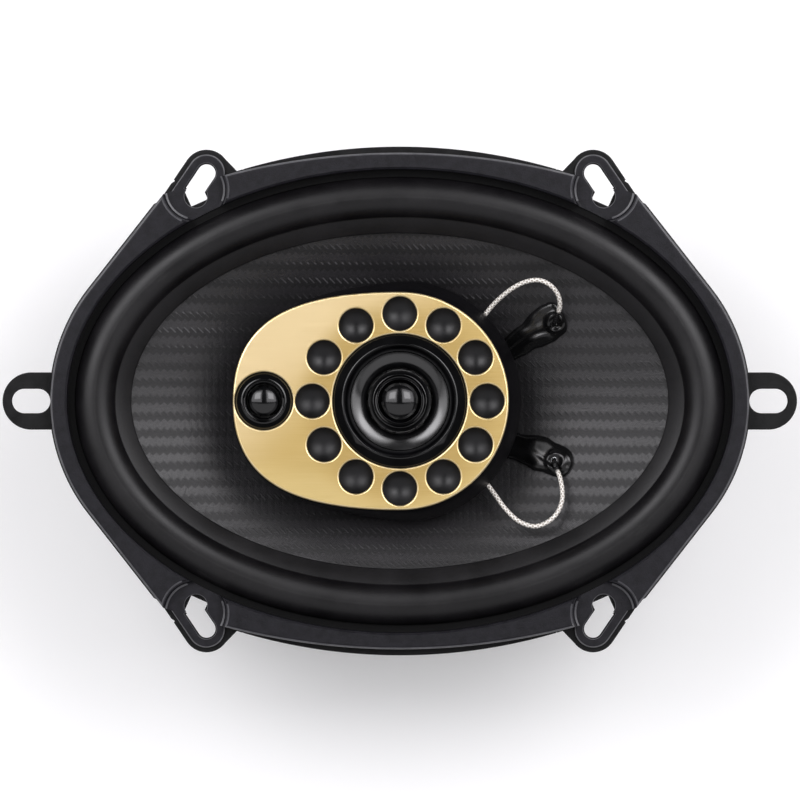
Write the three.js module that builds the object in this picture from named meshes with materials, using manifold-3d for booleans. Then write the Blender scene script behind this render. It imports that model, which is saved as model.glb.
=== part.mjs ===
// Oval coaxial car loudspeaker, three drive units on one axis and a fourth beside them.
// Millimetres. The origin is the centre of the magnet's rear face, +Z points out of the cone,
// +X runs along the long side of the frame.
import * as THREE from "three";
import { mergeVertices } from "three/addons/utils/BufferGeometryUtils.js";
import Module from "manifold-3d";

const wasm = await Module();
wasm.setup();

// ---- Driving dimensions -------------------------------------------------------------------

const steel = 1.2; // gauge of the pressed basket
const running = 0.4; // gap round whatever moves
const fitGap = 0.3; // gap between pieces that are glued or pushed together

// Motor, stacked up from the rear face.
const motor = {
  yokeRadius: 40,
  yokeThickness: 5.5,
  magnetRadius: 42.5,
  magnetBore: 22,
  magnetHeight: 15,
  topPlateRadius: 39,
  topPlateThickness: 5,
  coilRadius: 12.6, // inside of the voice-coil former
  formerWall: 0.4,
  windingWall: 0.6,
  windingHeight: 10,
  nutPocketRadius: 8,
  nutPocketDepth: 3.4,
};

// Frame: the trim ring's outline, the steel flange under it and the four bolt ears.
const frame = {
  mountingDepth: 62, // rear face of the flange above the rear face of the magnet
  halfLength: 100.3,
  halfWidth: 71.3,
  flareDegrees: 38, // half angle of the end arcs
  rimBand: 4.8, // trim ring between its outline and its oval opening, on the two axes
  flareBand: 4.39, // and at the flares
  crownRise: 7.88, // long side's middle above its ears
  flangeProud: 0.6, // steel outside the trim ring along the sides
  flangeCrownProud: 1.9, // and at the middle of the two long sides
  flangeCrownRise: 9.97,
  trimHeight: 5.2,
  earPad: 1.6, // trim ring's thickness over an ear
};
const ear = {
  inset: 44.7, // slot centre, in from the frame's end
  standOff: 2.1, // slot centre, out from the trim ring's long edge
  axisDegrees: -56, // from the round end of the slot to its square end
  steelRadius: 6.8,
  trimRadius: 5.4,
  slotWidth: 5.2,
  slotTravel: 6.8,
  squareSide: 5.2,
  squareShift: 0.9,
  squareDegrees: -24,
  keyholeRadius: 3.3,
  recessRadius: 9,
};
const endEar = { reach: 5.75, radius: 8.25, slotWidth: 7, slotLength: 11 };

// Basket below the flange.
const basket = {
  boreRadius: 19,
  cupRadius: 33.2,
  ledgeRadius: 38.4,
  ledgeRise: 8.1, // spider ledge above the basket's floor
  throatInset: 4.6, // oval wall inside the trim ring's opening
  windowTop: 8.4, // solid rim below the flange
  legHalfWidth: 6.5,
  windowInner: 42,
  windowInset: 10.8, // outer edge of a window inside the trim ring's opening
  legAngles: [0, 62, 118, 180, 242, 298],
  rivetCircle: 26.5,
  rivetRadius: 1.8,
};

// Cone, surround and spider.
const cone = {
  landing: 2.9, // flat of the surround inside the trim ring
  rollWidth: 10.1,
  rollHeight: 4.3,
  rubber: 0.8,
  glueBand: 5.2,
  bandDrop: 2,
  paper: 0.8,
  depth: 22.9,
  rimDrop: 0.6, // cone's rim below the front of the flange
  bow: 0.9, // exponent of the flare, 1 is straight
  clampedEdge: 1.5, // surround under the trim ring
};
const spider = { thickness: 0.6, wave: 1.3, waves: 3, flat: 4 };

// Tweeter pod on its post.
const pod = {
  clearBelow: 4.7, // underside below the front of the flange
  height: 11.5,
  plateThickness: 1.2,
  faceRadius: 31.3,
  faceReach: 47.9, // from the axis to the far end of the egg
  skirtRadius: 34.7,
  wall: 1.8,
  coverThickness: 1.5,
  topWall: 3.6,
  dishCircle: 25.05,
  dishCount: 12,
  dishRadius: 4.9,
  dishDepth: 2.1,
  postRadius: 4,
  postFlange: 7,
};
const mid = {
  bezelRadius: 19, bezelHeight: 2.4, innerRadius: 15.9, coneRadius: 14.1, neck: 9.5, rimDrop: 1.1,
};
const centreTweeter = { bodyRadius: 8.8, domeRadius: 4.6 };
const sideTweeter = { x: -39, bezelRadius: 8.1, bezelHeight: 1.9, domeRadius: 4.1 };

// Woofer's lead-outs: where each pair of leads is riveted through the cone.
const eyelets = { upper: [44.9, 22.6], lower: [44.9, -17.4] };
const lead = { diameter: 1.2, coverWidth: 4.2, coverHeight: 2.4 };

const ovalSegments = 32; // a multiple of four, as every oval shares its corners
const roundSegments = 20;
const frameSteps = 8; // along each arc of the frame's outline

// ---- Heights that follow from them ----------------------------------------------------------

const magnetZ = motor.yokeThickness;
const topPlateZ = magnetZ + motor.magnetHeight;
const floorZ = topPlateZ + motor.topPlateThickness;
const ledgeZ = floorZ + basket.ledgeRise;
const flangeZ = frame.mountingDepth;
const flangeTop = flangeZ + steel;
const trimTop = flangeTop + frame.trimHeight;
const rimZ = flangeTop - cone.rimDrop;
const neckZ = rimZ - cone.depth;
const podZ = flangeTop - pod.clearBelow;
const podTop = podZ + pod.height;
const coverTop = podZ + pod.coverThickness;
const formerOuter = motor.coilRadius + motor.formerWall;
const neckRadius = formerOuter + running;

// Semi-axes of an oval that lies the given distance inside the trim ring's opening.
function oval(inset) {
  const a = frame.halfLength - frame.rimBand - inset;
  const b = frame.halfWidth - frame.rimBand - inset;
  return [a, b];
}

const flare = THREE.MathUtils.degToRad(frame.flareDegrees);
const earX = frame.halfLength - ear.inset;
const earY = frame.halfWidth - frame.crownRise + ear.standOff;

// End arcs whose straight flares clear the opening by the flare band.
const endRadius = (() => {
  const [a, b] = oval(0);
  const reach = Math.hypot(a * Math.cos(flare), b * Math.sin(flare)) + frame.flareBand;
  return (reach - frame.halfLength * Math.cos(flare)) / (1 - Math.cos(flare));
})();

function crownRadius(rise) {
  return (earX * earX + rise * rise) / (2 * rise);
}

const rollStart = cone.landing;
const rollEnd = rollStart + cone.rollWidth;
const coneRim = oval(rollEnd + fitGap);
const coneBand = oval(rollEnd + cone.glueBand);

// ---- Solids ---------------------------------------------------------------------------------

function solid(geometry) {
  const bare = geometry.index ? geometry.toNonIndexed() : geometry.clone();
  bare.deleteAttribute("normal");
  bare.deleteAttribute("uv");
  const merged = mergeVertices(bare, 1e-3);
  const vertProperties = new Float32Array(merged.attributes.position.array);
  const triVerts = new Uint32Array(merged.index.array);
  return new wasm.Manifold(new wasm.Mesh({ numProp: 3, vertProperties, triVerts }));
}

function geometryOf(body) {
  const mesh = body.getMesh();
  const geometry = new THREE.BufferGeometry();
  geometry.setAttribute("position", new THREE.BufferAttribute(mesh.vertProperties, 3));
  geometry.setIndex(new THREE.BufferAttribute(mesh.triVerts, 1));
  return geometry;
}

function joined(...geometries) {
  return geometryOf(geometries.map(solid).reduce((whole, next) => whole.add(next)));
}

function cut(geometry, ...tools) {
  return geometryOf(tools.map(solid).reduce((whole, tool) => whole.subtract(tool), solid(geometry)));
}

// Closed profile of [radius, z] turned about Z. Profiles run counter-clockwise, z upwards.
function turned(profile, segments = roundSegments) {
  const closed = profile[0][0] === 0 ? profile : [...profile, profile[0]];
  const points = closed.map(([radius, z]) => new THREE.Vector2(radius, z));
  return new THREE.LatheGeometry(points, segments).rotateX(Math.PI / 2);
}

// The same for an oval ring: each profile point is [long semi-axis, short semi-axis, z].
function ovalRing(profile, segments = ovalSegments) {
  const closed = [...profile, profile[0]];
  const geometry = turned(profile.map(([a, , z]) => [a, z]), segments);
  const position = geometry.getAttribute("position");
  for (let i = 0; i < position.count; i++) {
    const [a, b] = closed[i % closed.length];
    position.setY(i, (position.getY(i) * b) / a);
  }
  return geometry;
}

function plate(shape, bottom, top, curveSegments = 10) {
  const settings = { depth: top - bottom, bevelEnabled: false, curveSegments };
  return new THREE.ExtrudeGeometry(shape, settings).translate(0, 0, bottom);
}

// Corners of the oval at an inset, the same ones that ovalRing makes.
function ovalPoints(inset) {
  const [a, b] = oval(inset);
  const turns = Array.from({ length: ovalSegments }, (_, i) => (2 * Math.PI * i) / ovalSegments);
  return turns.map((turn) => new THREE.Vector2(a * Math.cos(turn), b * Math.sin(turn)));
}

function polygon(points) {
  return new THREE.Shape(points.map(([x, y]) => new THREE.Vector2(x, y)));
}

function disc(radius, bottom, top, segments = roundSegments, x = 0, y = 0) {
  const geometry = new THREE.CylinderGeometry(radius, radius, top - bottom, segments);
  return geometry.rotateX(Math.PI / 2).translate(x, y, (top + bottom) / 2);
}

function box(from, to) {
  const size = to.map((value, i) => value - from[i]);
  const centre = to.map((value, i) => (value + from[i]) / 2);
  return new THREE.BoxGeometry(...size).translate(...centre);
}

// Outline of the frame: end arcs, straight flares tangent to them, and crowned long sides.
function frameOutline(halfLength, halfWidth, end, side) {
  const endX = halfLength - end;
  const crownY = halfWidth - side;
  const start = new THREE.Vector2(endX + end * Math.cos(flare), end * Math.sin(flare));
  const along = new THREE.Vector2(-Math.sin(flare), Math.cos(flare));
  const toCrown = start.clone().sub(new THREE.Vector2(0, crownY));
  const half = along.dot(toCrown);
  const reach = Math.sqrt(half * half - toCrown.lengthSq() + side * side) - half;
  const corner = start.add(along.multiplyScalar(reach));
  const crown = Math.atan2(corner.y - crownY, corner.x);
  const shape = new THREE.Shape();
  shape.absarc(endX, 0, end, -flare, flare);
  shape.absarc(0, crownY, side, crown, Math.PI - crown);
  shape.absarc(-endX, 0, end, Math.PI - flare, Math.PI + flare);
  shape.absarc(0, -crownY, side, Math.PI + crown, 2 * Math.PI - crown);
  return shape;
}

// ---- Ears -----------------------------------------------------------------------------------

const earAxis = new THREE.Vector2(1, 0).rotateAround(
  new THREE.Vector2(), THREE.MathUtils.degToRad(ear.axisDegrees));
const earSide = new THREE.Vector2(earAxis.y, -earAxis.x); // towards the speaker's axis
const quadrants = [[1, 1], [-1, 1], [-1, -1], [1, -1]];

// A point of the ear at +X +Y: along the slot from its round end, and across it inwards.
function earPoint(along, across) {
  const x = earX + earAxis.x * along + earSide.x * across;
  const y = earY + earAxis.y * along + earSide.y * across;
  return [x, y];
}

// Arc round the slot's round end from one side of the slot to the other, then two long sides.
function earCapsule(radius, length) {
  const points = [];
  const steps = 8;
  for (let i = 0; i <= steps; i++) {
    const turn = Math.PI / 2 + (Math.PI * i) / steps;
    points.push(earPoint(radius * Math.cos(turn), radius * Math.sin(turn)));
  }
  points.push(earPoint(length, -radius), earPoint(length, radius));
  return points;
}

function circlePoints(x, y, radius, count = 16) {
  const angles = Array.from({ length: count }, (_, i) => (2 * Math.PI * i) / count);
  return angles.map((turn) => [x + radius * Math.cos(turn), y + radius * Math.sin(turn)]);
}

function squarePoints(x, y, side, degrees) {
  const half = side / Math.SQRT2;
  const turn = THREE.MathUtils.degToRad(degrees + 45);
  const corners = [0, 1, 2, 3].map((i) => turn + (Math.PI / 2) * i);
  return corners.map((angle) => [x + half * Math.cos(angle), y + half * Math.sin(angle)]);
}

// The same prism in all four corners of the frame.
function inCorners(points, bottom, top) {
  const mirrored = ([sx, sy]) => polygon(points.map(([x, y]) => [x * sx, y * sy]));
  return quadrants.map((corner) => plate(mirrored(corner), bottom, top));
}

function endTab(side, radius, bottom, top) {
  const x = side * (frame.halfLength + endEar.reach);
  const inner = side * (frame.halfLength - frame.rimBand);
  const strip = polygon([[x, -radius], [inner, -radius], [inner, radius], [x, radius]]);
  return [plate(strip, bottom, top), disc(radius, bottom, top, 24, x)];
}

function endSlot(side, bottom, top) {
  const x = side * (frame.halfLength + endEar.reach);
  const half = endEar.slotWidth / 2;
  const run = (endEar.slotLength - endEar.slotWidth) / 2;
  const bar = polygon([[x - run, -half], [x + run, -half], [x + run, half], [x - run, half]]);
  const ends = [x - run, x + run].map((centre) => disc(half, bottom, top, 16, centre));
  return [plate(bar, bottom, top), ...ends];
}

// ---- Basket ---------------------------------------------------------------------------------

function basketWall() {
  const lip = oval(-0.5);
  const throat = oval(basket.throatInset);
  const throatInside = oval(basket.throatInset + steel);
  const shoulder = oval(basket.throatInset + 4.2);
  const shoulderInside = oval(basket.throatInset + 5.2);
  const cup = basket.cupRadius;
  const ledge = basket.ledgeRadius;
  const shoulderZ = flangeZ - basket.windowTop;
  return ovalRing([
    [basket.boreRadius, basket.boreRadius, floorZ],
    [cup - 0.6, cup - 0.6, floorZ],
    [cup + steel, cup + steel, ledgeZ - steel],
    [ledge + 0.6, ledge + 0.6, ledgeZ - steel],
    [...shoulder, shoulderZ - steel],
    [...throat, shoulderZ + 3.4],
    [...throat, flangeZ],
    [...lip, flangeZ],
    [...lip, flangeTop],
    [...throatInside, flangeTop],
    [...throatInside, shoulderZ + 3.8],
    [...shoulderInside, shoulderZ],
    [ledge, ledge, ledgeZ],
    [cup, cup, ledgeZ],
    [cup - 0.6 - steel, cup - 0.6 - steel, floorZ + steel],
    [basket.boreRadius, basket.boreRadius, floorZ + steel],
  ]);
}

function flangePlate() {
  const outline = frameOutline(
    frame.halfLength + frame.flangeProud,
    frame.halfWidth + frame.flangeCrownProud,
    endRadius + frame.flangeProud,
    crownRadius(frame.flangeCrownRise),
  );
  outline.holes.push(new THREE.Path(ovalPoints(0.4)));
  const gusset = [
    [earX - 0.7 * ear.steelRadius, earY + 0.7 * ear.steelRadius],
    [earX - 9, earY + 0.4],
    [earX, earY - ear.steelRadius],
  ];
  const bodies = [
    plate(outline, flangeZ, flangeTop, frameSteps),
    ...inCorners(earCapsule(ear.steelRadius, 8.6), flangeZ, flangeTop),
    ...inCorners(gusset, flangeZ, flangeTop),
    ...endTab(1, endEar.radius, flangeZ, flangeTop),
    ...endTab(-1, endEar.radius, flangeZ, flangeTop),
  ];
  const square = earPoint(ear.slotTravel, ear.squareShift);
  const through = [flangeZ - 1, flangeTop + 1];
  const holes = [
    ...inCorners(earCapsule(ear.slotWidth / 2, ear.slotTravel), ...through),
    ...inCorners(squarePoints(...square, ear.squareSide, ear.squareDegrees), ...through),
    ...endSlot(1, ...through),
    ...endSlot(-1, ...through),
  ];
  return cut(joined(...bodies), ...holes);
}

// One window between two legs whose sides stay parallel.
function windowShape(fromDegrees, toDegrees) {
  const [outerA, outerB] = oval(basket.windowInset);
  const inner = basket.windowInner;
  const edge = (a, b, start, end, steps) => {
    const reach = Math.hypot(a * Math.cos(start), b * Math.sin(start));
    const first = start + Math.asin(basket.legHalfWidth / reach);
    const endReach = Math.hypot(a * Math.cos(end), b * Math.sin(end));
    const last = end - Math.asin(basket.legHalfWidth / endReach);
    const turns = Array.from({ length: steps + 1 }, (_, i) => first + ((last - first) * i) / steps);
    return turns.map((turn) => [a * Math.cos(turn), b * Math.sin(turn)]);
  };
  const start = THREE.MathUtils.degToRad(fromDegrees);
  const end = THREE.MathUtils.degToRad(toDegrees);
  return polygon([...edge(outerA, outerB, start, end, 7), ...edge(inner, inner, start, end, 4).reverse()]);
}

function rivetPlaces() {
  return [45, 135, 225, 315].map((degrees) => {
    const turn = THREE.MathUtils.degToRad(degrees);
    return [basket.rivetCircle * Math.cos(turn), basket.rivetCircle * Math.sin(turn)];
  });
}

function rivetHoles(bottom, top) {
  return rivetPlaces().map(([x, y]) => disc(basket.rivetRadius + fitGap, bottom, top, 12, x, y));
}

function basketBody() {
  const legs = basket.legAngles;
  const windows = legs.map((from, i) => {
    const to = i + 1 < legs.length ? legs[i + 1] : 360;
    return plate(windowShape(from, to), ledgeZ + 0.5, flangeZ - 4);
  });
  return cut(joined(basketWall(), flangePlate()), ...windows, ...rivetHoles(floorZ - 1, floorZ + 3));
}

function trimRing() {
  const side = crownRadius(frame.crownRise);
  const outline = frameOutline(frame.halfLength, frame.halfWidth, endRadius, side);
  outline.holes.push(new THREE.Path(ovalPoints(0)));
  const padTop = flangeTop + frame.earPad;
  const recess = earPoint(5.8, 0);
  const key = earPoint(7.2, 1.2);
  const rebate = new THREE.Shape(ovalPoints(-cone.clampedEdge - fitGap));
  const through = [flangeTop - 1, padTop + 1];
  return cut(
    joined(
      plate(outline, flangeTop, trimTop, frameSteps),
      ...inCorners(earCapsule(ear.trimRadius, 8.6), flangeTop, padTop),
    ),
    ...inCorners(circlePoints(...recess, ear.recessRadius, 20), padTop, trimTop + 1),
    ...inCorners(earCapsule(ear.slotWidth / 2 + fitGap, 7.2), ...through),
    ...inCorners(circlePoints(...key, ear.keyholeRadius, 12), ...through),
    plate(rebate, flangeTop - 1, flangeTop + cone.rubber + fitGap),
  );
}

// ---- Motor ----------------------------------------------------------------------------------

function yoke() {
  const pole = motor.coilRadius - running;
  const bore = pod.postRadius + fitGap;
  const pocket = motor.nutPocketRadius;
  return turned([
    [pocket, 0],
    [motor.yokeRadius - 1, 0],
    [motor.yokeRadius, 1],
    [motor.yokeRadius, magnetZ],
    [pole, magnetZ],
    [pole, floorZ - 1],
    [pole - 1, floorZ],
    [bore, floorZ],
    [bore, motor.nutPocketDepth],
    [pocket, motor.nutPocketDepth],
  ], 24);
}

function magnet() {
  const outer = motor.magnetRadius;
  return turned([
    [motor.magnetBore, magnetZ],
    [outer - 1.2, magnetZ],
    [outer, magnetZ + 1.2],
    [outer, topPlateZ - 1.2],
    [outer - 1.2, topPlateZ],
    [motor.magnetBore, topPlateZ],
  ], 24);
}

function topPlate() {
  const gap = formerOuter + motor.windingWall + running;
  const ring = turned([
    [gap, topPlateZ],
    [motor.topPlateRadius, topPlateZ],
    [motor.topPlateRadius, floorZ],
    [gap, floorZ],
  ], 24);
  return cut(ring, ...rivetHoles(topPlateZ - 1, floorZ + 1));
}

function basketRivet() {
  const head = floorZ + steel;
  const radius = basket.rivetRadius;
  return turned([
    [0, topPlateZ + 0.4],
    [radius, topPlateZ + 0.4],
    [radius, head],
    [radius + 1.6, head],
    [radius + 1.4, head + 0.9],
    [radius, head + 1.4],
    [0, head + 1.4],
  ], 12);
}

// ---- Cone assembly --------------------------------------------------------------------------

// Height of the cone's front face a share of the way from its neck to the band glued to the surround.
function coneHeight(share) {
  return neckZ + (cone.depth - cone.bandDrop) * share ** cone.bow;
}

// Place on the cone's front face above a point of the plan, and the outward normal there.
function onCone(x, y) {
  const height = (px, py) => {
    const turn = Math.atan2(py, px);
    const band = 1 / Math.hypot(Math.cos(turn) / coneBand[0], Math.sin(turn) / coneBand[1]);
    return coneHeight((Math.hypot(px, py) - neckRadius) / (band - neckRadius));
  };
  const slope = [height(x + 0.1, y) - height(x - 0.1, y), height(x, y + 0.1) - height(x, y - 0.1)];
  const normal = new THREE.Vector3(-slope[0] / 0.2, -slope[1] / 0.2, 1).normalize();
  return { point: new THREE.Vector3(x, y, height(x, y)), normal };
}

function coneBody() {
  const shares = [0, 0.33, 0.66, 1];
  const front = shares.map((share) => {
    const a = neckRadius + (coneBand[0] - neckRadius) * share;
    const b = neckRadius + (coneBand[1] - neckRadius) * share;
    return [a, b, coneHeight(share)];
  });
  front.push([...coneRim, rimZ]);
  const back = front.map(([a, b, z]) => [a, b, z - cone.paper]);
  const shell = ovalRing([...back, ...front.reverse()]);
  const holes = Object.values(eyelets).map(([x, y]) => disc(1.9, neckZ, flangeTop, 12, x, y));
  return cut(shell, ...holes);
}

// Half roll between a clamped landing and a band glued to the cone's rim.
function surround() {
  const middle = rollStart + cone.rollWidth / 2;
  const half = cone.rollWidth / 2;
  const bandEnd = rollEnd + cone.glueBand;
  const arc = (grow, steps) => Array.from({ length: steps + 1 }, (_, i) => {
    const turn = Math.PI * (1 - i / steps);
    const inset = middle + (half + grow) * Math.cos(turn);
    return [...oval(inset), flangeTop + (cone.rollHeight + grow) * Math.sin(turn)];
  });
  const rollSteps = 4;
  const landing = -cone.clampedEdge;
  const lift = rimZ + fitGap;
  return ovalRing([
    [...oval(bandEnd), lift - cone.bandDrop],
    ...arc(0, rollSteps).reverse().map(([a, b, z], i) => (i === 0 ? [a, b, lift + 0.1] : [a, b, z])),
    [...oval(landing), flangeTop],
    [...oval(landing), flangeTop + cone.rubber],
    ...arc(0, rollSteps).slice(0, 1).map(([a, b]) => [a, b, flangeTop + cone.rubber]),
    ...arc(cone.rubber, rollSteps).slice(1, rollSteps),
    [...oval(rollEnd + 0.9), lift + cone.rubber + 0.1],
    [...oval(bandEnd), lift - cone.bandDrop + cone.rubber],
  ]);
}

function spiderDisc() {
  const inner = formerOuter + fitGap / 2;
  const outer = basket.ledgeRadius - fitGap;
  const flatStart = outer - spider.flat;
  const steps = spider.waves * 2;
  const wave = Array.from({ length: steps + 1 }, (_, i) => {
    const radius = inner + 1 + ((flatStart - inner - 1) * i) / steps;
    return [radius, ledgeZ + (i % 2 ? spider.wave : 0)];
  });
  const under = [[inner, ledgeZ], ...wave, [outer, ledgeZ]];
  const over = under.map(([radius, z]) => [radius, z + spider.thickness]).reverse();
  return turned([...under, ...over]);
}

function former() {
  const bottom = floorZ - motor.topPlateThickness / 2 - motor.windingHeight / 2 - 2;
  return turned([
    [motor.coilRadius, bottom],
    [formerOuter, bottom],
    [formerOuter, neckZ + 1],
    [motor.coilRadius, neckZ + 1],
  ]);
}

function winding() {
  const middle = floorZ - motor.topPlateThickness / 2;
  const inner = formerOuter + 0.05;
  const outer = formerOuter + motor.windingWall;
  const half = motor.windingHeight / 2;
  const [low, high] = [middle - half, middle + half];
  return turned([[inner, low], [outer, low], [outer, high], [inner, high]]);
}

// Hollow rivet, its axis along Z with the cone's face at zero.
function eyelet() {
  const down = -cone.paper - 0.9;
  return turned([
    [0.6, down],
    [2.2, down],
    [2.2, down + 0.6],
    [1.3, down + 0.6],
    [1.3, fitGap],
    [2.2, fitGap],
    [2.2, fitGap + 0.6],
    [0.6, fitGap + 0.6],
  ], 10);
}

// Bead of damping compound over the coil's lead-out, from the neck to the eyelet.
function leadCover([x, y]) {
  const reach = Math.hypot(x, y);
  const direction = new THREE.Vector2(x, y).normalize();
  const side = new THREE.Vector2(-direction.y, direction.x);
  const rows = 7;
  const across = 5;
  const start = neckRadius + 4;
  const end = reach - 2.8;
  const top = [];
  const bottom = [];
  for (let i = 0; i <= rows; i++) {
    const share = i / rows;
    const radius = start + (end - start) * share;
    const taper = Math.sqrt(Math.max(0.04, 1 - Math.max(0, (share - 0.72) / 0.28) ** 2));
    const width = lead.coverWidth * (0.72 + 0.28 * share) * taper;
    for (let j = 0; j < across; j++) {
      const offset = (2 * j) / (across - 1) - 1;
      const px = direction.x * radius + side.x * width * offset;
      const py = direction.y * radius + side.y * width * offset;
      const floor = onCone(px, py).point.z + fitGap;
      const crown = lead.coverHeight * taper * Math.sqrt(1 - 0.98 * offset * offset);
      bottom.push([px, py, floor]);
      top.push([px, py, floor + Math.max(crown, 0.2)]);
    }
  }
  return slab(top, bottom, rows + 1, across);
}

// Closed body between two grids of points with the same rows and columns.
function slab(top, bottom, rows, columns) {
  const count = rows * columns;
  const index = [];
  const quad = (a, b, c, d) => index.push(a, b, c, a, c, d);
  for (let i = 0; i < rows - 1; i++) {
    for (let j = 0; j < columns - 1; j++) {
      const a = i * columns + j;
      quad(a, a + columns, a + columns + 1, a + 1);
      quad(count + a, count + a + 1, count + a + columns + 1, count + a + columns);
    }
  }
  const rim = [];
  for (let j = 0; j < columns - 1; j++) rim.push(j);
  for (let i = 0; i < rows - 1; i++) rim.push(i * columns + columns - 1);
  for (let j = columns - 1; j > 0; j--) rim.push((rows - 1) * columns + j);
  for (let i = rows - 1; i > 0; i--) rim.push(i * columns);
  rim.forEach((a, i) => {
    const b = rim[(i + 1) % rim.length];
    quad(a, b, count + b, count + a);
  });
  const geometry = new THREE.BufferGeometry();
  const position = new Float32Array([...top, ...bottom].flat());
  geometry.setAttribute("position", new THREE.BufferAttribute(position, 3));
  geometry.setIndex(index);
  return geometry;
}

// ---- Leads ----------------------------------------------------------------------------------

function flexibleLead(points, steps) {
  const route = new THREE.CatmullRomCurve3(points.map((point) => new THREE.Vector3(...point)));
  const section = polygon(circlePoints(0, 0, lead.diameter / 2, 8));
  return new THREE.ExtrudeGeometry(section, { steps, bevelEnabled: false, extrudePath: route });
}

// Front leads: from the pod's underside, up in a loop over the cone and down into an eyelet.
const frontRoutes = {
  upper: [
    [18.6, 18.3, 59.4], [19.6, 19.3, 58.2], [21.4, 21.2, 57.5], [23.8, 23.9, 57.4], [26.6, 27.4, 58.6],
    [29.6, 30.3, 60.6], [33, 32.8, 62.4], [36.6, 34.4, 63.6], [40.2, 34.7, 64.2], [43.4, 33.2, 64],
    [45.6, 30.4, 62.8], [46.1, 27.2, 61], [45.3, 24.6, 58.9], [44.7, 22.8, 57.2], [44.56, 22.2, 55.85],
  ],
  lower: [
    [18.6, -18.3, 59.4], [19.6, -19.3, 58.2], [21.6, -20.8, 57.5], [24.3, -22.9, 57.4], [27.6, -27.2, 58.8],
    [30.4, -31, 60.6], [34, -34.4, 62.2], [38.2, -36, 63], [41.8, -35.2, 63.2], [44.9, -32.7, 62.8],
    [46.6, -29.2, 61.6], [46.8, -25.6, 60.1], [46.2, -22.2, 58.5], [45.3, -19.6, 56.9], [44.6, -17.8, 55.7],
    [44.54, -17.07, 54.45],
  ],
};
const leadExit = [19.1, 18.8];

// Rear leads: from a lug of the terminal board, through a window, up to the eyelet's back.
const rearRoutes = {
  upper: [
    [51.2, 8.2, 36.4], [49.2, 10.8, 36], [48, 15, 36.4], [48.4, 20, 38], [49.4, 24.4, 41],
    [49.6, 27.4, 44.8], [48.2, 27, 48.6], [46, 24.2, 51.2], [45.42, 23.22, 52.4],
  ],
  lower: [
    [51.2, -8.2, 36.4], [49.2, -10.6, 36], [47.8, -14.4, 36], [48, -19, 37], [49, -22.8, 39.6],
    [49.4, -24.4, 43.2], [48.6, -22.8, 46.8], [46.4, -19.2, 49.6], [45.47, -18, 50.85],
  ],
};

// ---- Terminals ------------------------------------------------------------------------------
// Made lying flat with the leg's rear face at zero height, then turned onto the sloping leg.

const board = { halfLength: 6, halfWidth: 12.5, thickness: 1.6 };
const blades = { positive: { y: 8.2, half: 3.15 }, negative: { y: -8.2, half: 2.4 } };
const bladeGauge = 0.8;
const bladeReach = 9;

function terminalBoard() {
  const { halfLength, halfWidth, thickness } = board;
  const base = box([-halfLength, -halfWidth, 0], [halfLength, halfWidth, thickness]);
  const holes = Object.values(blades).map(({ y }) => disc(1.2 + fitGap / 2, -1, thickness + 1, 12, -2.5, y));
  return cut(base, ...holes);
}

function terminalBlade({ y, half }) {
  const seat = board.thickness + 0.05;
  const foot = box([-8.4, y - half, seat], [4.2, y + half, seat + bladeGauge]);
  const tab = polygon([
    [-half, 0], [half, 0], [half, bladeReach - 1.4],
    [half - 1, bladeReach], [1 - half, bladeReach], [-half, bladeReach - 1.4],
  ]);
  const blade = plate(tab, 0, bladeGauge);
  blade.rotateX(Math.PI / 2).rotateZ(Math.PI / 2).translate(4.2 - bladeGauge, y, seat);
  return cut(joined(foot, blade), disc(1.2 + fitGap / 2, -1, seat + 3, 12, -2.5, y));
}

function terminalRivet() {
  const seat = board.thickness + bladeGauge + 0.1;
  return turned([[0, 0.1], [1.2, 0.1], [1.2, seat], [2.1, seat], [1.8, seat + 0.7], [0, seat + 0.9]], 12);
}

// ---- Tweeter pod ----------------------------------------------------------------------------

// Egg-shaped outline: a half circle round the axis, closed by one curve on each side of the far end.
function eggOutline(grow) {
  const radius = pod.faceRadius + grow;
  const reach = pod.faceReach + grow;
  const shoulder = radius * 1.07;
  const nose = radius * 0.69;
  const shape = new THREE.Shape();
  shape.absarc(0, 0, radius, -Math.PI / 2, Math.PI / 2);
  shape.bezierCurveTo(-shoulder, radius, -reach, nose, -reach, 0);
  shape.bezierCurveTo(-reach, -nose, -shoulder, -radius, 0, -radius);
  return shape;
}

function dishPlaces() {
  const turns = Array.from({ length: pod.dishCount }, (_, i) => (2 * Math.PI * i) / pod.dishCount);
  return turns.map((turn) => [pod.dishCircle * Math.cos(turn), pod.dishCircle * Math.sin(turn)]);
}

function podHousing() {
  const skirt = new THREE.CylinderGeometry(pod.faceRadius + 0.3, pod.skirtRadius, pod.height, 24);
  skirt.rotateX(Math.PI / 2).translate(0, 0, podZ + pod.height / 2);
  const shell = joined(skirt, plate(eggOutline(0.3), podZ, podTop));
  const ceiling = podTop - pod.topWall;
  const dishes = dishPlaces().map(([x, y]) => {
    const bowl = turned([
      [0, podTop - pod.dishDepth],
      [pod.dishRadius * 0.6, podTop - pod.dishDepth * 0.7],
      [pod.dishRadius, podTop],
      [pod.dishRadius, podTop + 1],
      [0, podTop + 1],
    ], 8);
    return bowl.translate(x, y, 0);
  });
  return cut(
    shell,
    plate(eggOutline(-pod.wall), podZ - 1, ceiling),
    disc(mid.innerRadius - 0.5, ceiling - 1, podTop + 1),
    disc(mid.innerRadius + 1.3, ceiling + 0.6, podTop + 1),
    disc(sideTweeter.bezelRadius - 1.2, ceiling - 1, podTop + 1, 20, sideTweeter.x),
    ...dishes,
  );
}

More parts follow.
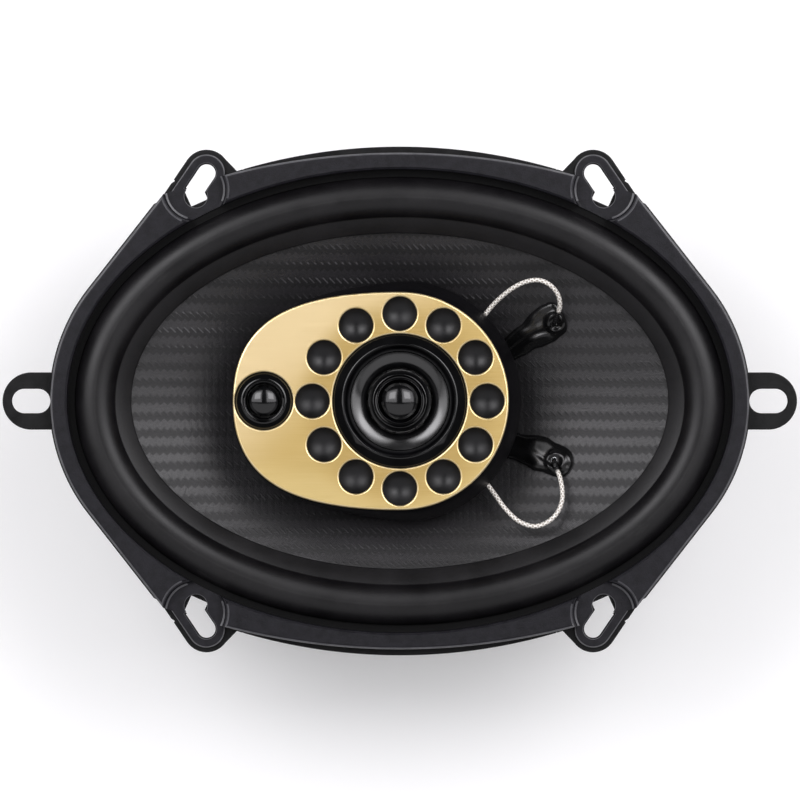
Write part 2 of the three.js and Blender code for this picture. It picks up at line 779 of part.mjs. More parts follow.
function facePlate() {
  const outline = eggOutline(0);
  const holes = [
    [0, 0, mid.bezelRadius + fitGap, 24],
    [sideTweeter.x, 0, sideTweeter.bezelRadius + fitGap, 20],
    ...dishPlaces().map(([x, y]) => [x, y, pod.dishRadius, 8]),
  ];
  outline.holes = holes.map(([x, y, radius, count]) => {
    const points = circlePoints(x, y, radius, count).map(([px, py]) => new THREE.Vector2(px, py));
    return new THREE.Path(points);
  });
  return plate(outline, podTop, podTop + pod.plateThickness);
}

function podCover() {
  return cut(
    plate(eggOutline(-pod.wall - fitGap), podZ, coverTop, 10),
    disc(pod.postRadius - 1 + fitGap, podZ - 1, coverTop + 1, 16),
    ...[1, -1].map((side) => disc(2, podZ - 1, coverTop + 1, 12, leadExit[0], side * leadExit[1])),
  );
}

function podPost() {
  const radius = pod.postRadius;
  return turned([
    [0, 0.8],
    [radius - 0.6, 0.8],
    [radius - 0.6, motor.nutPocketDepth],
    [radius, motor.nutPocketDepth],
    [radius, podZ - 5],
    [pod.postFlange, podZ - 2],
    [pod.postFlange, podZ],
    [radius - 1, podZ],
    [radius - 1, coverTop - 0.2],
    [0, coverTop - 0.2],
  ], 16);
}

function postNut() {
  const hexagon = polygon(circlePoints(0, 0, 6, 6));
  const bore = new THREE.Path();
  bore.absarc(0, 0, pod.postRadius - 0.3, 0, 2 * Math.PI);
  hexagon.holes.push(bore);
  return plate(hexagon, 0.4, motor.nutPocketDepth - 0.8, 8);
}

function postWasher() {
  const inner = pod.postRadius - 0.3;
  const top = motor.nutPocketDepth;
  return turned([[inner, top - 0.8], [7.2, top - 0.8], [7.2, top], [inner, top]], 16);
}

// Midrange round the axis.
const bezelSeat = podTop - pod.topWall + 1.1;

function midBezel() {
  const top = podTop + mid.bezelHeight;
  const inner = mid.innerRadius;
  const outer = mid.bezelRadius;
  return turned([
    [inner, bezelSeat],
    [inner + 1, bezelSeat],
    [inner + 1, podTop],
    [outer, podTop],
    [outer, top - 0.8],
    [outer - 0.8, top],
    [inner + 0.9, top],
    [inner + 0.1, top - 0.6],
    [inner, top - 1.6],
  ]);
}

function midSurround() {
  const land = bezelSeat - 0.5;
  return turned([
    [mid.coneRadius + fitGap, land + 0.9],
    [mid.coneRadius + 0.9, land + 0.3],
    [mid.innerRadius - 0.3, land],
    [mid.innerRadius + 0.9, land],
    [mid.innerRadius + 0.9, bezelSeat],
    [mid.innerRadius - 0.3, bezelSeat],
    [mid.coneRadius + fitGap, land + 1.3],
  ]);
}

const midYokeTop = coverTop + 5.2;

function midCone() {
  const neck = mid.neck;
  const bottom = coverTop + 2.2;
  const fold = midYokeTop - 0.4;
  return turned([
    [neck, bottom],
    [neck + 0.3, bottom],
    [neck + 0.3, fold],
    [mid.coneRadius, bezelSeat + 0.3],
    [mid.coneRadius, bezelSeat + 0.7],
    [neck + 1.6, fold + 1.5],
    [neck, fold + 0.6],
  ]);
}

function midWinding() {
  const inner = mid.neck + 0.35;
  return turned([
    [inner, coverTop + 2.4],
    [inner + 0.4, coverTop + 2.4],
    [inner + 0.4, midYokeTop - 0.6],
    [inner, midYokeTop - 0.6],
  ]);
}

function cup(inner, outer, bottom, top, floor) {
  return turned([
    [0, bottom],
    [outer, bottom],
    [outer, top],
    [inner, top],
    [inner, bottom + floor],
    [0, bottom + floor],
  ], 24);
}

function centreTweeterBody() {
  const outer = centreTweeter.bodyRadius;
  const inner = centreTweeter.domeRadius + 0.7;
  const base = midYokeTop;
  return turned([
    [inner, base],
    [outer, base],
    [outer, base + 4.2],
    [outer - 0.7, base + 5],
    [outer - 1.2, base + 5.1],
    [outer - 1.9, base + 4.4],
    [outer - 2.5, base + 4.4],
    [inner, base + 3],
  ], 20);
}

// Thin dome with its former hanging below it.
function dome(radius, bottom, rim, height) {
  const wall = 0.3;
  const steps = 3;
  const arc = (r, h) => Array.from({ length: steps }, (_, i) => {
    const turn = (Math.PI / 2) * (i / steps);
    return [r * Math.cos(turn), rim + h * Math.sin(turn)];
  });
  const outside = [...arc(radius, height), [0, rim + height]];
  const inside = [[0, rim + height - wall], ...arc(radius - wall, height - wall).reverse()];
  const points = [...inside, [radius - wall, bottom], [radius, bottom], ...outside];
  return new THREE.LatheGeometry(points.map(([r, z]) => new THREE.Vector2(r, z)), 12).rotateX(Math.PI / 2);
}

function sideBezel() {
  const outer = sideTweeter.bezelRadius;
  const inner = sideTweeter.domeRadius + 0.8;
  const top = podTop + sideTweeter.bezelHeight;
  const bottom = podTop - pod.topWall + 0.2;
  return turned([
    [inner, bottom],
    [outer - 1.5, bottom],
    [outer - 1.5, podTop],
    [outer, podTop],
    [outer, top - 0.9],
    [outer - 0.9, top],
    [inner + 1.4, top - 0.1],
    [inner + 0.6, top - 1.2],
    [inner, top - 1.6],
  ], 20);
}

function capacitor(side) {
  const radius = 2.9;
  const geometry = new THREE.CylinderGeometry(radius, radius, 11, 14);
  return geometry.translate(-21.5, side * 13.5, coverTop + radius + 0.2);
}

// ---- Scene ----------------------------------------------------------------------------------

const finishes = {
  blackSteel: { color: 0x17171a, roughness: 0.5, metalness: 0.6 },
  trimPlastic: { color: 0x26262a, roughness: 0.55, metalness: 0 },
  rubber: { color: 0x1b1b1d, roughness: 0.6, metalness: 0 },
  wovenCone: { color: 0x2b2a2e, roughness: 0.5, metalness: 0 },
  glossPlastic: { color: 0x070708, roughness: 0.15, metalness: 0 },
  gold: { color: 0xd9b868, roughness: 0.3, metalness: 0.9 },
  zinc: { color: 0x9c9d9a, roughness: 0.35, metalness: 1 },
  ferrite: { color: 0x2a2a2c, roughness: 0.7, metalness: 0.1 },
  copper: { color: 0xa85c30, roughness: 0.35, metalness: 1 },
  tinsel: { color: 0xc9c3b6, roughness: 0.4, metalness: 0.8 },
  spiderCloth: { color: 0xb98a3c, roughness: 0.9, metalness: 0 },
  fibreBoard: { color: 0x5a3a22, roughness: 0.8, metalness: 0 },
  sleeve: { color: 0x203a70, roughness: 0.4, metalness: 0 },
};

const speaker = new THREE.Group();

function add(name, geometry, finish, parent = speaker) {
  const mesh = new THREE.Mesh(geometry, new THREE.MeshStandardMaterial(finishes[finish]));
  mesh.name = name;
  parent.add(mesh);
  return mesh;
}

add("basket", basketBody(), "blackSteel");
add("trim_ring", trimRing(), "trimPlastic");
add("t_yoke", yoke(), "zinc");
add("magnet", magnet(), "ferrite");
add("top_plate", topPlate(), "zinc");
rivetPlaces().forEach(([x, y], i) => {
  add(`basket_rivet_${i + 1}`, basketRivet(), "zinc").position.set(x, y, 0);
});

add("surround", surround(), "rubber");
add("spider", spiderDisc(), "spiderCloth");
add("cone", coneBody(), "wovenCone");
add("voice_coil_former", former(), "copper");
add("voice_coil_winding", winding(), "copper");

for (const [side, place] of Object.entries(eyelets)) {
  const { point, normal } = onCone(...place);
  const rivet = add(`eyelet_${side}`, eyelet(), "zinc");
  rivet.position.copy(point);
  rivet.quaternion.setFromUnitVectors(new THREE.Vector3(0, 0, 1), normal);
  add(`lead_cover_${side}`, leadCover(place), "glossPlastic");
  add(`front_lead_${side}`, flexibleLead(frontRoutes[side], 22), "tinsel");
  add(`rear_lead_${side}`, flexibleLead(rearRoutes[side], 12), "tinsel");
}

// The terminals' group lies on the rear of the leg that points along +X.
const legRun = oval(basket.throatInset + 4.2)[0] - basket.ledgeRadius - 0.6;
const legRise = flangeZ - basket.windowTop - ledgeZ;
const legSlope = Math.atan2(legRise, legRun);
const boardX = 57.5;
const boardZ = ledgeZ - steel + (boardX - basket.ledgeRadius - 0.6) * Math.tan(legSlope);
const terminals = new THREE.Group();
terminals.position.set(boardX, 0, boardZ).addScaledVector(
  new THREE.Vector3(Math.sin(legSlope), 0, -Math.cos(legSlope)), fitGap);
terminals.rotation.set(Math.PI, 0, 0);
terminals.rotateY(legSlope);
speaker.add(terminals);
add("terminal_board", terminalBoard(), "fibreBoard", terminals);
for (const [pole, blade] of Object.entries(blades)) {
  const mirrored = { y: -blade.y, half: blade.half };
  add(`terminal_${pole}`, terminalBlade(mirrored), "zinc", terminals);
  add(`terminal_rivet_${pole}`, terminalRivet(), "zinc", terminals).position.set(-2.5, -blade.y, 0);
}

add("pod_post", podPost(), "zinc");
add("post_nut", postNut(), "zinc");
add("post_washer", postWasher(), "zinc");
add("pod_back_cover", podCover(), "trimPlastic");
add("pod_housing", podHousing(), "glossPlastic");
add("face_plate", facePlate(), "gold");

const midYokeRim = midYokeTop - mid.rimDrop;
add("mid_yoke", cup(mid.neck + 1.4, mid.neck + 3, coverTop, midYokeRim, 1.5), "zinc");
add("mid_magnet", disc(mid.neck - 1.3, coverTop + 1.5, coverTop + 3.8, 24), "zinc");
add("mid_pole_plate", disc(mid.neck - 0.4, coverTop + 3.8, midYokeTop, 24), "zinc");
add("mid_bezel", midBezel(), "glossPlastic");
add("mid_surround", midSurround(), "rubber");
add("mid_cone", midCone(), "glossPlastic");
add("mid_winding", midWinding(), "copper");

const centreRim = midYokeTop + 2.8;
add("centre_tweeter_body", centreTweeterBody(), "glossPlastic");
add("centre_tweeter_magnet", disc(centreTweeter.domeRadius - 0.9, midYokeTop, midYokeTop + 2, 20), "zinc");
add("centre_dome", dome(centreTweeter.domeRadius, midYokeTop + 0.6, centreRim, 2.4), "glossPlastic");

const side = new THREE.Group();
side.position.x = sideTweeter.x;
speaker.add(side);
const sideRim = podTop - 1;
add("side_tweeter_bezel", sideBezel(), "glossPlastic", side);
add("side_dome", dome(sideTweeter.domeRadius, coverTop + 2.2, sideRim, 2.2), "glossPlastic", side);
const sideDome = sideTweeter.domeRadius;
add("side_tweeter_yoke", cup(sideDome + 0.7, sideDome + 2, coverTop, coverTop + 5.6, 1.2), "zinc", side);
add("side_tweeter_magnet", disc(sideDome - 0.9, coverTop + 1.2, coverTop + 5, 20), "zinc", side);
add("capacitor_upper", capacitor(1), "sleeve");
add("capacitor_lower", capacitor(-1), "sleeve");

export default speaker;
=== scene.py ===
import math
import bmesh
import bpy
import numpy as np
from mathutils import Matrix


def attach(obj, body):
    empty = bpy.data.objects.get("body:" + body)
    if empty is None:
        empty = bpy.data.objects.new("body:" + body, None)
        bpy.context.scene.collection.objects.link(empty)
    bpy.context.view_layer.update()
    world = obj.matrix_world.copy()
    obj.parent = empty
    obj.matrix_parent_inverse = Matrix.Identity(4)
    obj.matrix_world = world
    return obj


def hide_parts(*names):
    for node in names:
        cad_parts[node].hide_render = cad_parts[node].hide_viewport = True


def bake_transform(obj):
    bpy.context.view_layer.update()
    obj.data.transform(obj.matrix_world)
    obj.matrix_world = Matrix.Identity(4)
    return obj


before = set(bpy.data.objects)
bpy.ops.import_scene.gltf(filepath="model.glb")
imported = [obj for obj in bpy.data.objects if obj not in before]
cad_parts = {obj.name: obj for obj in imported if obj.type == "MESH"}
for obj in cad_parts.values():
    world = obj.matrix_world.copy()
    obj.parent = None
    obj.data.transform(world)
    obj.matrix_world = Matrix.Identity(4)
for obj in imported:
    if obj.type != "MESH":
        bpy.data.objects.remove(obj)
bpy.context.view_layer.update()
mm = 0.001
halfTurn, fullTurn = math.pi, 2 * math.pi
scene = bpy.context.scene
print("frame loaded:", len(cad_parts), "nodes")

# camera straight above the cone, far off with a long lens
view = {"distance": 2.0, "acrossMm": 229.8, "sensor": 36, "aim": (0.00006, 0.00029, 0.066)}
cameraData = bpy.data.cameras.new("camera")
cameraData.sensor_width = view["sensor"]
cameraData.lens = view["sensor"] * view["distance"] / (view["acrossMm"] * mm)
cameraData.clip_end = 10 * view["distance"]
camera = bpy.data.objects.new("camera", cameraData)
camera.location = (view["aim"][0], view["aim"][1], view["aim"][2] + view["distance"])
scene.collection.objects.link(camera)
scene.camera = camera


# pieces are worked out in millimetres, and makeMesh turns them into metres

def gridFaces(rows, cols, wrapRows=True, wrapCols=True):
    # quads between neighbouring rows and columns of a grid of points
    i, j = np.meshgrid(np.arange(rows if wrapRows else rows - 1),
                       np.arange(cols if wrapCols else cols - 1), indexing="ij")
    corner = [(i, j), (i + 1, j), (i + 1, j + 1), (i, j + 1)]
    return np.stack([(a % rows) * cols + b % cols for a, b in corner], -1).reshape(-1, 4)


def cappedFaces(layers, count):
    # quads between the layers of a closed outline, and a cap at each end
    sides = gridFaces(layers, count, False, True)[:, ::-1].tolist()
    return sides + [list(range(count))[::-1], list(range((layers - 1) * count, layers * count))]


def faceVectors(mesh, key):
    flat = np.zeros(len(mesh.polygons) * 3)
    mesh.polygons.foreach_get(key, flat)
    return flat.reshape(-1, 3)


def shadeMesh(mesh, smoothDegrees=32, flatCaps=True):
    # smooth up to an angle, with level faces kept flat
    levelFrom = 0.99995 if flatCaps else 2
    smooth = np.abs(faceVectors(mesh, "normal")[:, 2]) < levelFrom
    mesh.polygons.foreach_set("use_smooth", smooth)
    mesh.set_sharp_from_angle(angle=math.radians(smoothDegrees))
    mesh.polygons.foreach_set("use_smooth", smooth)


def makeMesh(name, points, faces, clean=True, **shading):
    # new piece; cleaning merges doubles and turns the faces outwards
    mesh = bpy.data.meshes.new(name)
    rows = faces.tolist() if isinstance(faces, np.ndarray) else faces
    mesh.from_pydata((np.asarray(points, float).reshape(-1, 3) * mm).tolist(), [], rows)
    piece = bpy.data.objects.new(name, mesh)
    scene.collection.objects.link(piece)
    if clean:
        work = bmesh.new()
        work.from_mesh(mesh)
        bmesh.ops.remove_doubles(work, verts=work.verts, dist=1e-7)
        bmesh.ops.dissolve_degenerate(work, edges=work.edges, dist=1e-8)
        bmesh.ops.recalc_face_normals(work, faces=work.faces)
        work.to_mesh(mesh)
        work.free()
        mesh.update()
        shadeMesh(mesh, **shading)
    return piece


def readPoints(piece):
    flat = np.zeros(len(piece.data.vertices) * 3)
    piece.data.vertices.foreach_get("co", flat)
    return flat.reshape(-1, 3) / mm


def movePoints(piece, points):
    piece.data.vertices.foreach_set("co", (points * mm).ravel())
    piece.data.update()
    return piece


def rounded(corners, radius, steps=4, openEnds=False):
    # each corner of a profile replaced by a curve: (1-t)^2 start + 2t(1-t) corner + t^2 end
    corner = np.asarray(corners, float)
    radius = np.broadcast_to(np.asarray(radius, float), len(corner)).copy()
    if openEnds:
        radius[[0, -1]] = 0
    before, after = np.roll(corner, 1, 0) - corner, np.roll(corner, -1, 0) - corner
    lengths = [np.maximum(np.linalg.norm(side, axis=1), 1e-9) for side in (before, after)]
    inset = np.minimum(radius, 0.48 * np.minimum(*lengths))
    start = corner + before * (inset / lengths[0])[:, None]
    end = corner + after * (inset / lengths[1])[:, None]
    t = np.linspace(0, 1, steps + 1)[None, :, None]
    curve = (1 - t) ** 2 * start[:, None] + 2 * t * (1 - t) * corner[:, None] + t * t * end[:, None]
    return curve.reshape(-1, corner.shape[1])


def ovalPoints(a, b, start=0.0, end=fullTurn, count=360, ends=False):
    # x = a cos(turn), y = b sin(turn)
    turn = np.linspace(start, end, count, endpoint=ends)
    return np.column_stack([a * np.cos(turn), b * np.sin(turn)])


def arcPoints(x, y, radius, start, end, count):
    return ovalPoints(radius, radius, start, end, count, True) + (x, y)


def ovalRing(name, profile, segments=288, centre=(0, 0), closed=True, **shading):
    # profile of [long half axis, short half axis, z]: x = cx + a cos(turn), y = cy + b sin(turn)
    turn = np.linspace(0, fullTurn, segments, endpoint=False)[:, None]
    a, b, z = np.asarray(profile, float).T
    points = np.stack([centre[0] + a * np.cos(turn), centre[1] + b * np.sin(turn), z + 0 * turn], -1)
    return makeMesh(name, points, gridFaces(segments, len(a), True, closed), **shading)


def revolve(name, profile, segments=96, **options):
    # profile of [radius, z]: an oval ring with equal half axes
    r, z = np.asarray(profile, float).T
    return ovalRing(name, np.stack([r, r, z], -1), segments, **options)


def rod(radius, low, high, segments=32, centre=(0, 0)):
    # plain cylinder, for drilling
    profile = [(0, low), (radius, low), (radius, high), (0, high)]
    return revolve("rod", profile, segments, centre=centre, closed=False)


def offsetOutline(outline, distance):
    # every corner moved along the mean of its two edge normals, outwards for a positive distance
    edge = np.roll(outline, -1, 0) - outline
    normal = np.stack([edge[:, 1], -edge[:, 0]], -1)
    normal /= np.maximum(np.linalg.norm(normal, axis=1), 1e-9)[:, None]
    mean = normal + np.roll(normal, 1, 0)
    mean /= np.maximum(np.linalg.norm(mean, axis=1), 1e-9)[:, None]
    return outline + mean * np.asarray(distance).reshape(-1, 1)


def levelAt(outline, z):
    return np.column_stack([outline, np.full(len(outline), z)])


def loft(name, layers, **shading):
    # closed outlines with equal counts of points, joined from the lowest up and capped
    return makeMesh(name, np.concatenate(layers), cappedFaces(len(layers), len(layers[0])), **shading)


def prism(name, outline, levels, **shading):
    # the outline at levels of (z, outward offset)
    outline = np.asarray(outline, float)
    return loft(name, [levelAt(offsetOutline(outline, grow), z) for z, grow in levels], **shading)


def bevelled(bottom, top, edge=0.3, steps=3, bottomEdge=None):
    # levels for a prism whose rims are quarter rounds: z = rim - edge (1 - sin t), offset = -edge (1 - cos t)
    low = edge if bottomEdge is None else bottomEdge
    turn = np.linspace(0, halfTurn / 2, steps + 1)
    lower = [(bottom + low * (1 - math.sin(t)), -low * (1 - math.cos(t))) for t in turn[::-1]]
    upper = [(top - edge * (1 - math.sin(t)), -edge * (1 - math.cos(t))) for t in turn]
    return lower + upper


def carve(target, operation, *tools, **shading):
    # cuts away or adds each tool in turn, and removes it
    for tool in tools:
        change = target.modifiers.new("change", "BOOLEAN")
        change.operation = operation
        change.solver = "MANIFOLD"
        change.object = tool
        graph = bpy.context.evaluated_depsgraph_get()
        result = bpy.data.meshes.new_from_object(target.evaluated_get(graph))
        target.modifiers.clear()
        target.data = result
        bpy.data.objects.remove(tool)
    shadeMesh(target.data, **shading)
    return target


def faceTilts(mesh):
    # degrees between each face's normal and straight up, and the face centres in millimetres
    up = np.clip(faceVectors(mesh, "normal")[:, 2], -1, 1)
    return np.degrees(np.arccos(up)), faceVectors(mesh, "center") / mm


def markFaces(piece, finish, chosen):
    # gives the chosen faces a second finish
    piece.data.materials.append(finishes[finish])
    slot = len(piece.data.materials) - 1
    piece.data.polygons.foreach_set("material_index", np.where(chosen, slot, 0).astype(np.int32))


def placed(piece, body, finish, node=None, split=None):
    # gives the piece its finish and its body; a piece with a split is only baked where it stands, with no
    # body
    piece.data.materials.clear()
    piece.data.materials.append(finishes[finish])
    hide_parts(node or piece.name.split(".")[0])
    if split:
        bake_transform(piece)
    else:
        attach(piece, body)
    return piece


def turned(name, body, finish, slot, profile, radii, segments=128, steps=4, solid=False, holes=(), split=None,
           **options):
    # a rounded profile turned round its axis, then drilled; a solid's profile ends on the axis
    outline = rounded(profile, radii, steps, openEnds=solid)
    piece = revolve(name, outline, segments, closed=not solid, **options)
    if holes:
        carve(piece, "DIFFERENCE", *holes)
    return placed(piece, body, finish, split=split)


# materials

def nodeIn(tree, kind, links=None, **values):
    # adds a node; links gives an input, by its name or number, a wire or a plain value
    node = tree.nodes.new(kind)
    for key, value in values.items():
        setattr(node, key, value)
    for key, source in (links or {}).items():
        if isinstance(source, Wire):
            tree.links.new(source.socket, node.inputs[key])
        else:
            node.inputs[key].default_value = source
    return node


class Wire:
    # a node's output; each sum, range or mix made with it adds one more node
    def __init__(self, tree, socket):
        self.tree, self.socket = tree, socket

    def node(self, kind, links=None, out=0, **values):
        return Wire(self.tree, nodeIn(self.tree, kind, links, **values).outputs[out])

    def math(self, operation, *others):
        return self.node("ShaderNodeMath", dict(enumerate((self, *others))), operation=operation)

    def __add__(self, other):
        return self.math("ADD", other)

    def __sub__(self, other):
        return self.math("SUBTRACT", other)

    def __mul__(self, other):
        return self.math("MULTIPLY", other)

    def __truediv__(self, other):
        return self.math("DIVIDE", other)

    def zigzag(self):
        # up and down between 0 and a half, once in each whole step
        return self.math("PINGPONG", 0.5)

    def ramp(self, low, high, outLow=0.0, outHigh=1.0):
        # smooth step from outLow to outHigh while the wire goes from low to high
        return self.node("ShaderNodeMapRange", {"Value": self, "From Min": low, "From Max": high,
                         "To Min": outLow, "To Max": outHigh}, interpolation_type="SMOOTHSTEP")

    def mix(self, a, b):
        # colour a where the wire is 0, colour b where it is 1
        sides = {key: color if isinstance(color, Wire) else (*color, 1) for key, color in ((6, a), (7, b))}
        return self.node("ShaderNodeMix", {"Factor": self, **sides}, 2, data_type="RGBA")

    def noise(self, scale, detail=2.0, roughness=0.5):
        return self.node("ShaderNodeTexNoise", {"Vector": self, "Scale": scale, "Detail": detail,
                                                "Roughness": roughness})

    def cells(self, scale, out):
        return self.node("ShaderNodeTexVoronoi", {"Vector": self, "Scale": scale}, out)

    def mapped(self, scale, rotation=(0.0, 0.0, 0.0)):
        return self.node("ShaderNodeMapping", {"Vector": self, "Scale": scale, "Rotation": rotation})

    def split(self):
        outputs = nodeIn(self.tree, "ShaderNodeSeparateXYZ", {0: self}).outputs
        return [Wire(self.tree, socket) for socket in outputs]

    def shared(self, group, values):
        # a shared group placed in this material, fed with this vector and its own values
        outputs = nodeIn(self.tree, "ShaderNodeGroup", {"Vector": self, **values}, node_tree=group).outputs
        return [Wire(self.tree, socket) for socket in outputs]


def newGroup(name, inputs, outputs, fill):
    # sockets are given as label and kind; fill works out the output wires from the input wires
    group = bpy.data.node_groups.new(name, "ShaderNodeTree")
    for way, sockets in (("INPUT", inputs), ("OUTPUT", outputs)):
        for label, kind in sockets.items():
            group.interface.new_socket(label, in_out=way, socket_type="NodeSocket" + kind)
    start = group.nodes.new("NodeGroupInput").outputs
    end = group.nodes.new("NodeGroupOutput").inputs
    wires = fill({label: Wire(group, start[label]) for label in inputs})
    for label, wire in zip(outputs, wires):
        group.links.new(wire.socket, end[label])
    return group


def skinWires(start):
    # moulded or powder-coated skin: fine grain over slow mottling, and outer corners lightened, partly wear
    # and partly a painted edge highlight
    vector = start["Vector"]
    grain = vector.noise(start["Grain Scale"], 3.0, 0.6)
    mottle = vector.noise(start["Mottle Scale"], 4.0, 0.65)
    color = (grain * 0.35 + mottle * 0.65).ramp(0.36, 0.64).mix(start["Dark"], start["Light"])
    corner = vector.node("ShaderNodeNewGeometry", out="Pointiness").ramp(0.512, 0.56)
    # outer corners take the edge colour: partly wear, partly a painted edge highlight
    edgeWearAndHighlight = (corner * start["Edge Amount"]) * mottle.ramp(0.3, 0.6, 0.5, 1.0)
    rough = mottle.node("ShaderNodeMapRange", {"Value": mottle, "From Min": 0.3, "From Max": 0.7,
                                               "To Min": start["Rough Low"], "To Max": start["Rough High"]})
    return edgeWearAndHighlight.mix(color, start["Edge"]), rough, grain


def weaveWires(start):
    # twill cloth: bands along X with saw-toothed borders, slanted ticks and fine threads
    x, y = start["Vector"].split()[:2]
    drift = (start["Vector"].noise(60.0, 1.0) - 0.5) * 0.0007
    across = (x + drift) / start["Tooth"] + 400.0
    up = (y + drift) / start["Band"] + 200.0
    row = (up + across.zigzag() * 2.0 * 0.19).math("FRACT")
    # light band: a crisp saw-toothed upper border and a softer lower one
    band = row.ramp(0.32, 0.56) * row.ramp(0.97, 0.9)
    # slanted ticks sit on the lower border of each band, one per tooth
    slant = (across + up * 2.4).math("FRACT")
    line = (slant - 0.5).math("ABSOLUTE").ramp(0.22, 0.08)
    tick = line * (row - 0.34).math("ABSOLUTE").ramp(0.17, 0.05)
    # threads run one way in the light bands and the other way in the dark ones
    rising = (across * 4.0 + up * 7.0).zigzag()
    falling = (across * 4.0 - up * 7.0).zigzag()
    thread = band.node("ShaderNodeMix", {"Factor": band, 2: falling, 3: rising}, data_type="FLOAT")
    weft = (across.math("FRACT") * halfTurn).math("SINE") * 0.4
    return band, tick, thread * 0.5 + weft + tick * 0.5


skinGrain = newGroup("skinGrain", {
    "Vector": "Vector", "Grain Scale": "Float", "Mottle Scale": "Float", "Dark": "Color", "Light": "Color",
    "Edge": "Color", "Edge Amount": "Float", "Rough Low": "Float", "Rough High": "Float"},
    {"Color": "Color", "Roughness": "Float", "Height": "Float"}, skinWires)
twillWeave = newGroup("twillWeave", {"Vector": "Vector", "Band": "Float", "Tooth": "Float"},
                      {"Band": "Float", "Tick": "Float", "Height": "Float"}, weaveWires)


def newMaterial(name, base, **shader):
    # shader values are set on the Principled node's own sockets
    material = bpy.data.materials.new(name)
    material.use_nodes = True
    inputs = material.node_tree.nodes["Principled BSDF"].inputs
    inputs["Base Color"].default_value = (*base, 1)
    for key, value in shader.items():
        inputs[key.replace("_", " ")].default_value = value
    return material


def vectorOf(material):
    tree = material.node_tree
    return Wire(tree, nodeIn(tree, "ShaderNodeTexCoord").outputs["Object"])


def connect(material, color, height, strength, rough=None, metallic=None, distance=0.0002):
    # joins the wires to the Principled node, the height through a bump
    tree = material.node_tree
    normal = height.node("ShaderNodeBump", {"Height": height, "Strength": strength, "Distance": distance})
    wires = {"Base Color": color, "Roughness": rough, "Metallic": metallic, "Normal": normal}
    for key, wire in wires.items():
        if wire:
            tree.links.new(wire.socket, tree.nodes["Principled BSDF"].inputs[key])
    return material


def skinMaterial(name, dark, light, specular, edge, edgeAmount, grain, mottle, rough, bump):
    material = newMaterial(name, light, Specular_IOR_Level=specular)
    values = {"Grain Scale": grain, "Mottle Scale": mottle, "Dark": (*dark, 1), "Light": (*light, 1),
              "Edge": (*edge, 1), "Edge Amount": edgeAmount, "Rough Low": rough[0], "Rough High": rough[1]}
    color, roughness, height = vectorOf(material).shared(skinGrain, values)
    return connect(material, color, height, bump, roughness)


def weaveMaterial():
    material = newMaterial("wovenFibreCone", (0.5, 0.5, 0.5), Specular_IOR_Level=0.5)
    vector = vectorOf(material)
    band, tick, height = vector.shared(twillWeave, {"Band": 0.0048, "Tooth": 0.002})
    patch = vector.noise(35.0, 3.0)
    fuzz = vector.noise(1900.0)
    blotch = patch.ramp(0.3, 0.7)
    dark = blotch.mix((0.0045, 0.0042, 0.005), (0.0085, 0.0079, 0.009))
    light = blotch.mix((0.015, 0.0142, 0.0157), (0.026, 0.0245, 0.027))
    color = fuzz.ramp(0.3, 0.75, 0.35, 0.0).mix(band.mix(dark, light), (0.002, 0.002, 0.002))
    # the ticks are part of the weave, and their light colour is partly a painted sheen: it shows most on the
    # upper side of the cone and fades towards its right end
    x, y = vector.split()[:2]
    side = y.ramp(-0.01, 0.03, 0.35, 1.0) * x.ramp(0.02, 0.05, 1.0, 0.3)
    tickSheen = tick * (patch.ramp(0.42, 0.62, 0.08, 0.5) * side)
    color = tickSheen.mix(color, (0.105, 0.102, 0.108))
    return connect(material, color, height + fuzz * 1.1, 0.4, band.ramp(0.0, 1.0, 0.53, 0.38))


def goldMaterial():
    # satin anodised sheet with fine brushed lines along X; the light on it is painted: a painted pale
    # reflection at the upper left, painted shade deepening round the axis and a painted lighter band along
    # the lower rim
    material = newMaterial("satinGold", (0.8, 0.6, 0.3), Metallic=0.5)
    vector = vectorOf(material)
    brushed = vector.mapped((60.0, 5200.0, 1.0)).noise(1.0)
    x, y = vector.split()[:2]
    radius = (x * x + y * y).math("SQRT")
    # painted reflection: the plate pales towards the upper left
    place = x - y * 1.2 + (vector.noise(28.0) - 0.5) * 0.03
    color = place.ramp(-0.056, -0.01).mix((0.72, 0.56, 0.3), (0.535, 0.375, 0.125))
    # painted shade: deeper colour round the axis
    color = radius.ramp(0.031, 0.022).mix(color, (0.455, 0.308, 0.092))
    # painted highlight: a lighter band along the lower rim
    lowerRimHighlight = radius.ramp(0.027, 0.033) * y.ramp(-0.014, -0.026)
    color = lowerRimHighlight.mix(color, (0.62, 0.465, 0.185))
    color = brushed.ramp(0.3, 0.7, 0.0, 0.07).mix(color, (0.9, 0.78, 0.5))
    return connect(material, color, brushed, 0.05, brushed.ramp(0.3, 0.7, 0.38, 0.48), distance=0.00005)


def glossMaterial(name, base, roughness, specular=0.5):
    # polished moulding: faint flow mottling, dust specks and a few hairline rubs in the gloss
    material = newMaterial(name, base, Specular_IOR_Level=specular)
    vector = vectorOf(material)
    cloud = vector.noise(160.0, 3.0)
    rub = vector.mapped((1.0, 14.0, 1.0), (0.0, 0.0, 0.6)).noise(420.0)
    rough = cloud.ramp(0.3, 0.7, roughness * 0.85, roughness * 1.2) + rub.ramp(0.62, 0.75) * 0.06
    pale = tuple(min(1, c * 1.8 + 0.0008) for c in base)
    color = cloud.ramp(0.35, 0.75).mix(base, pale)
    speck = vector.cells(900.0, "Distance").ramp(0.11, 0.05)
    return connect(material, (speck * 0.05).mix(color, (0.25, 0.25, 0.25)), cloud, 0.03, rough)


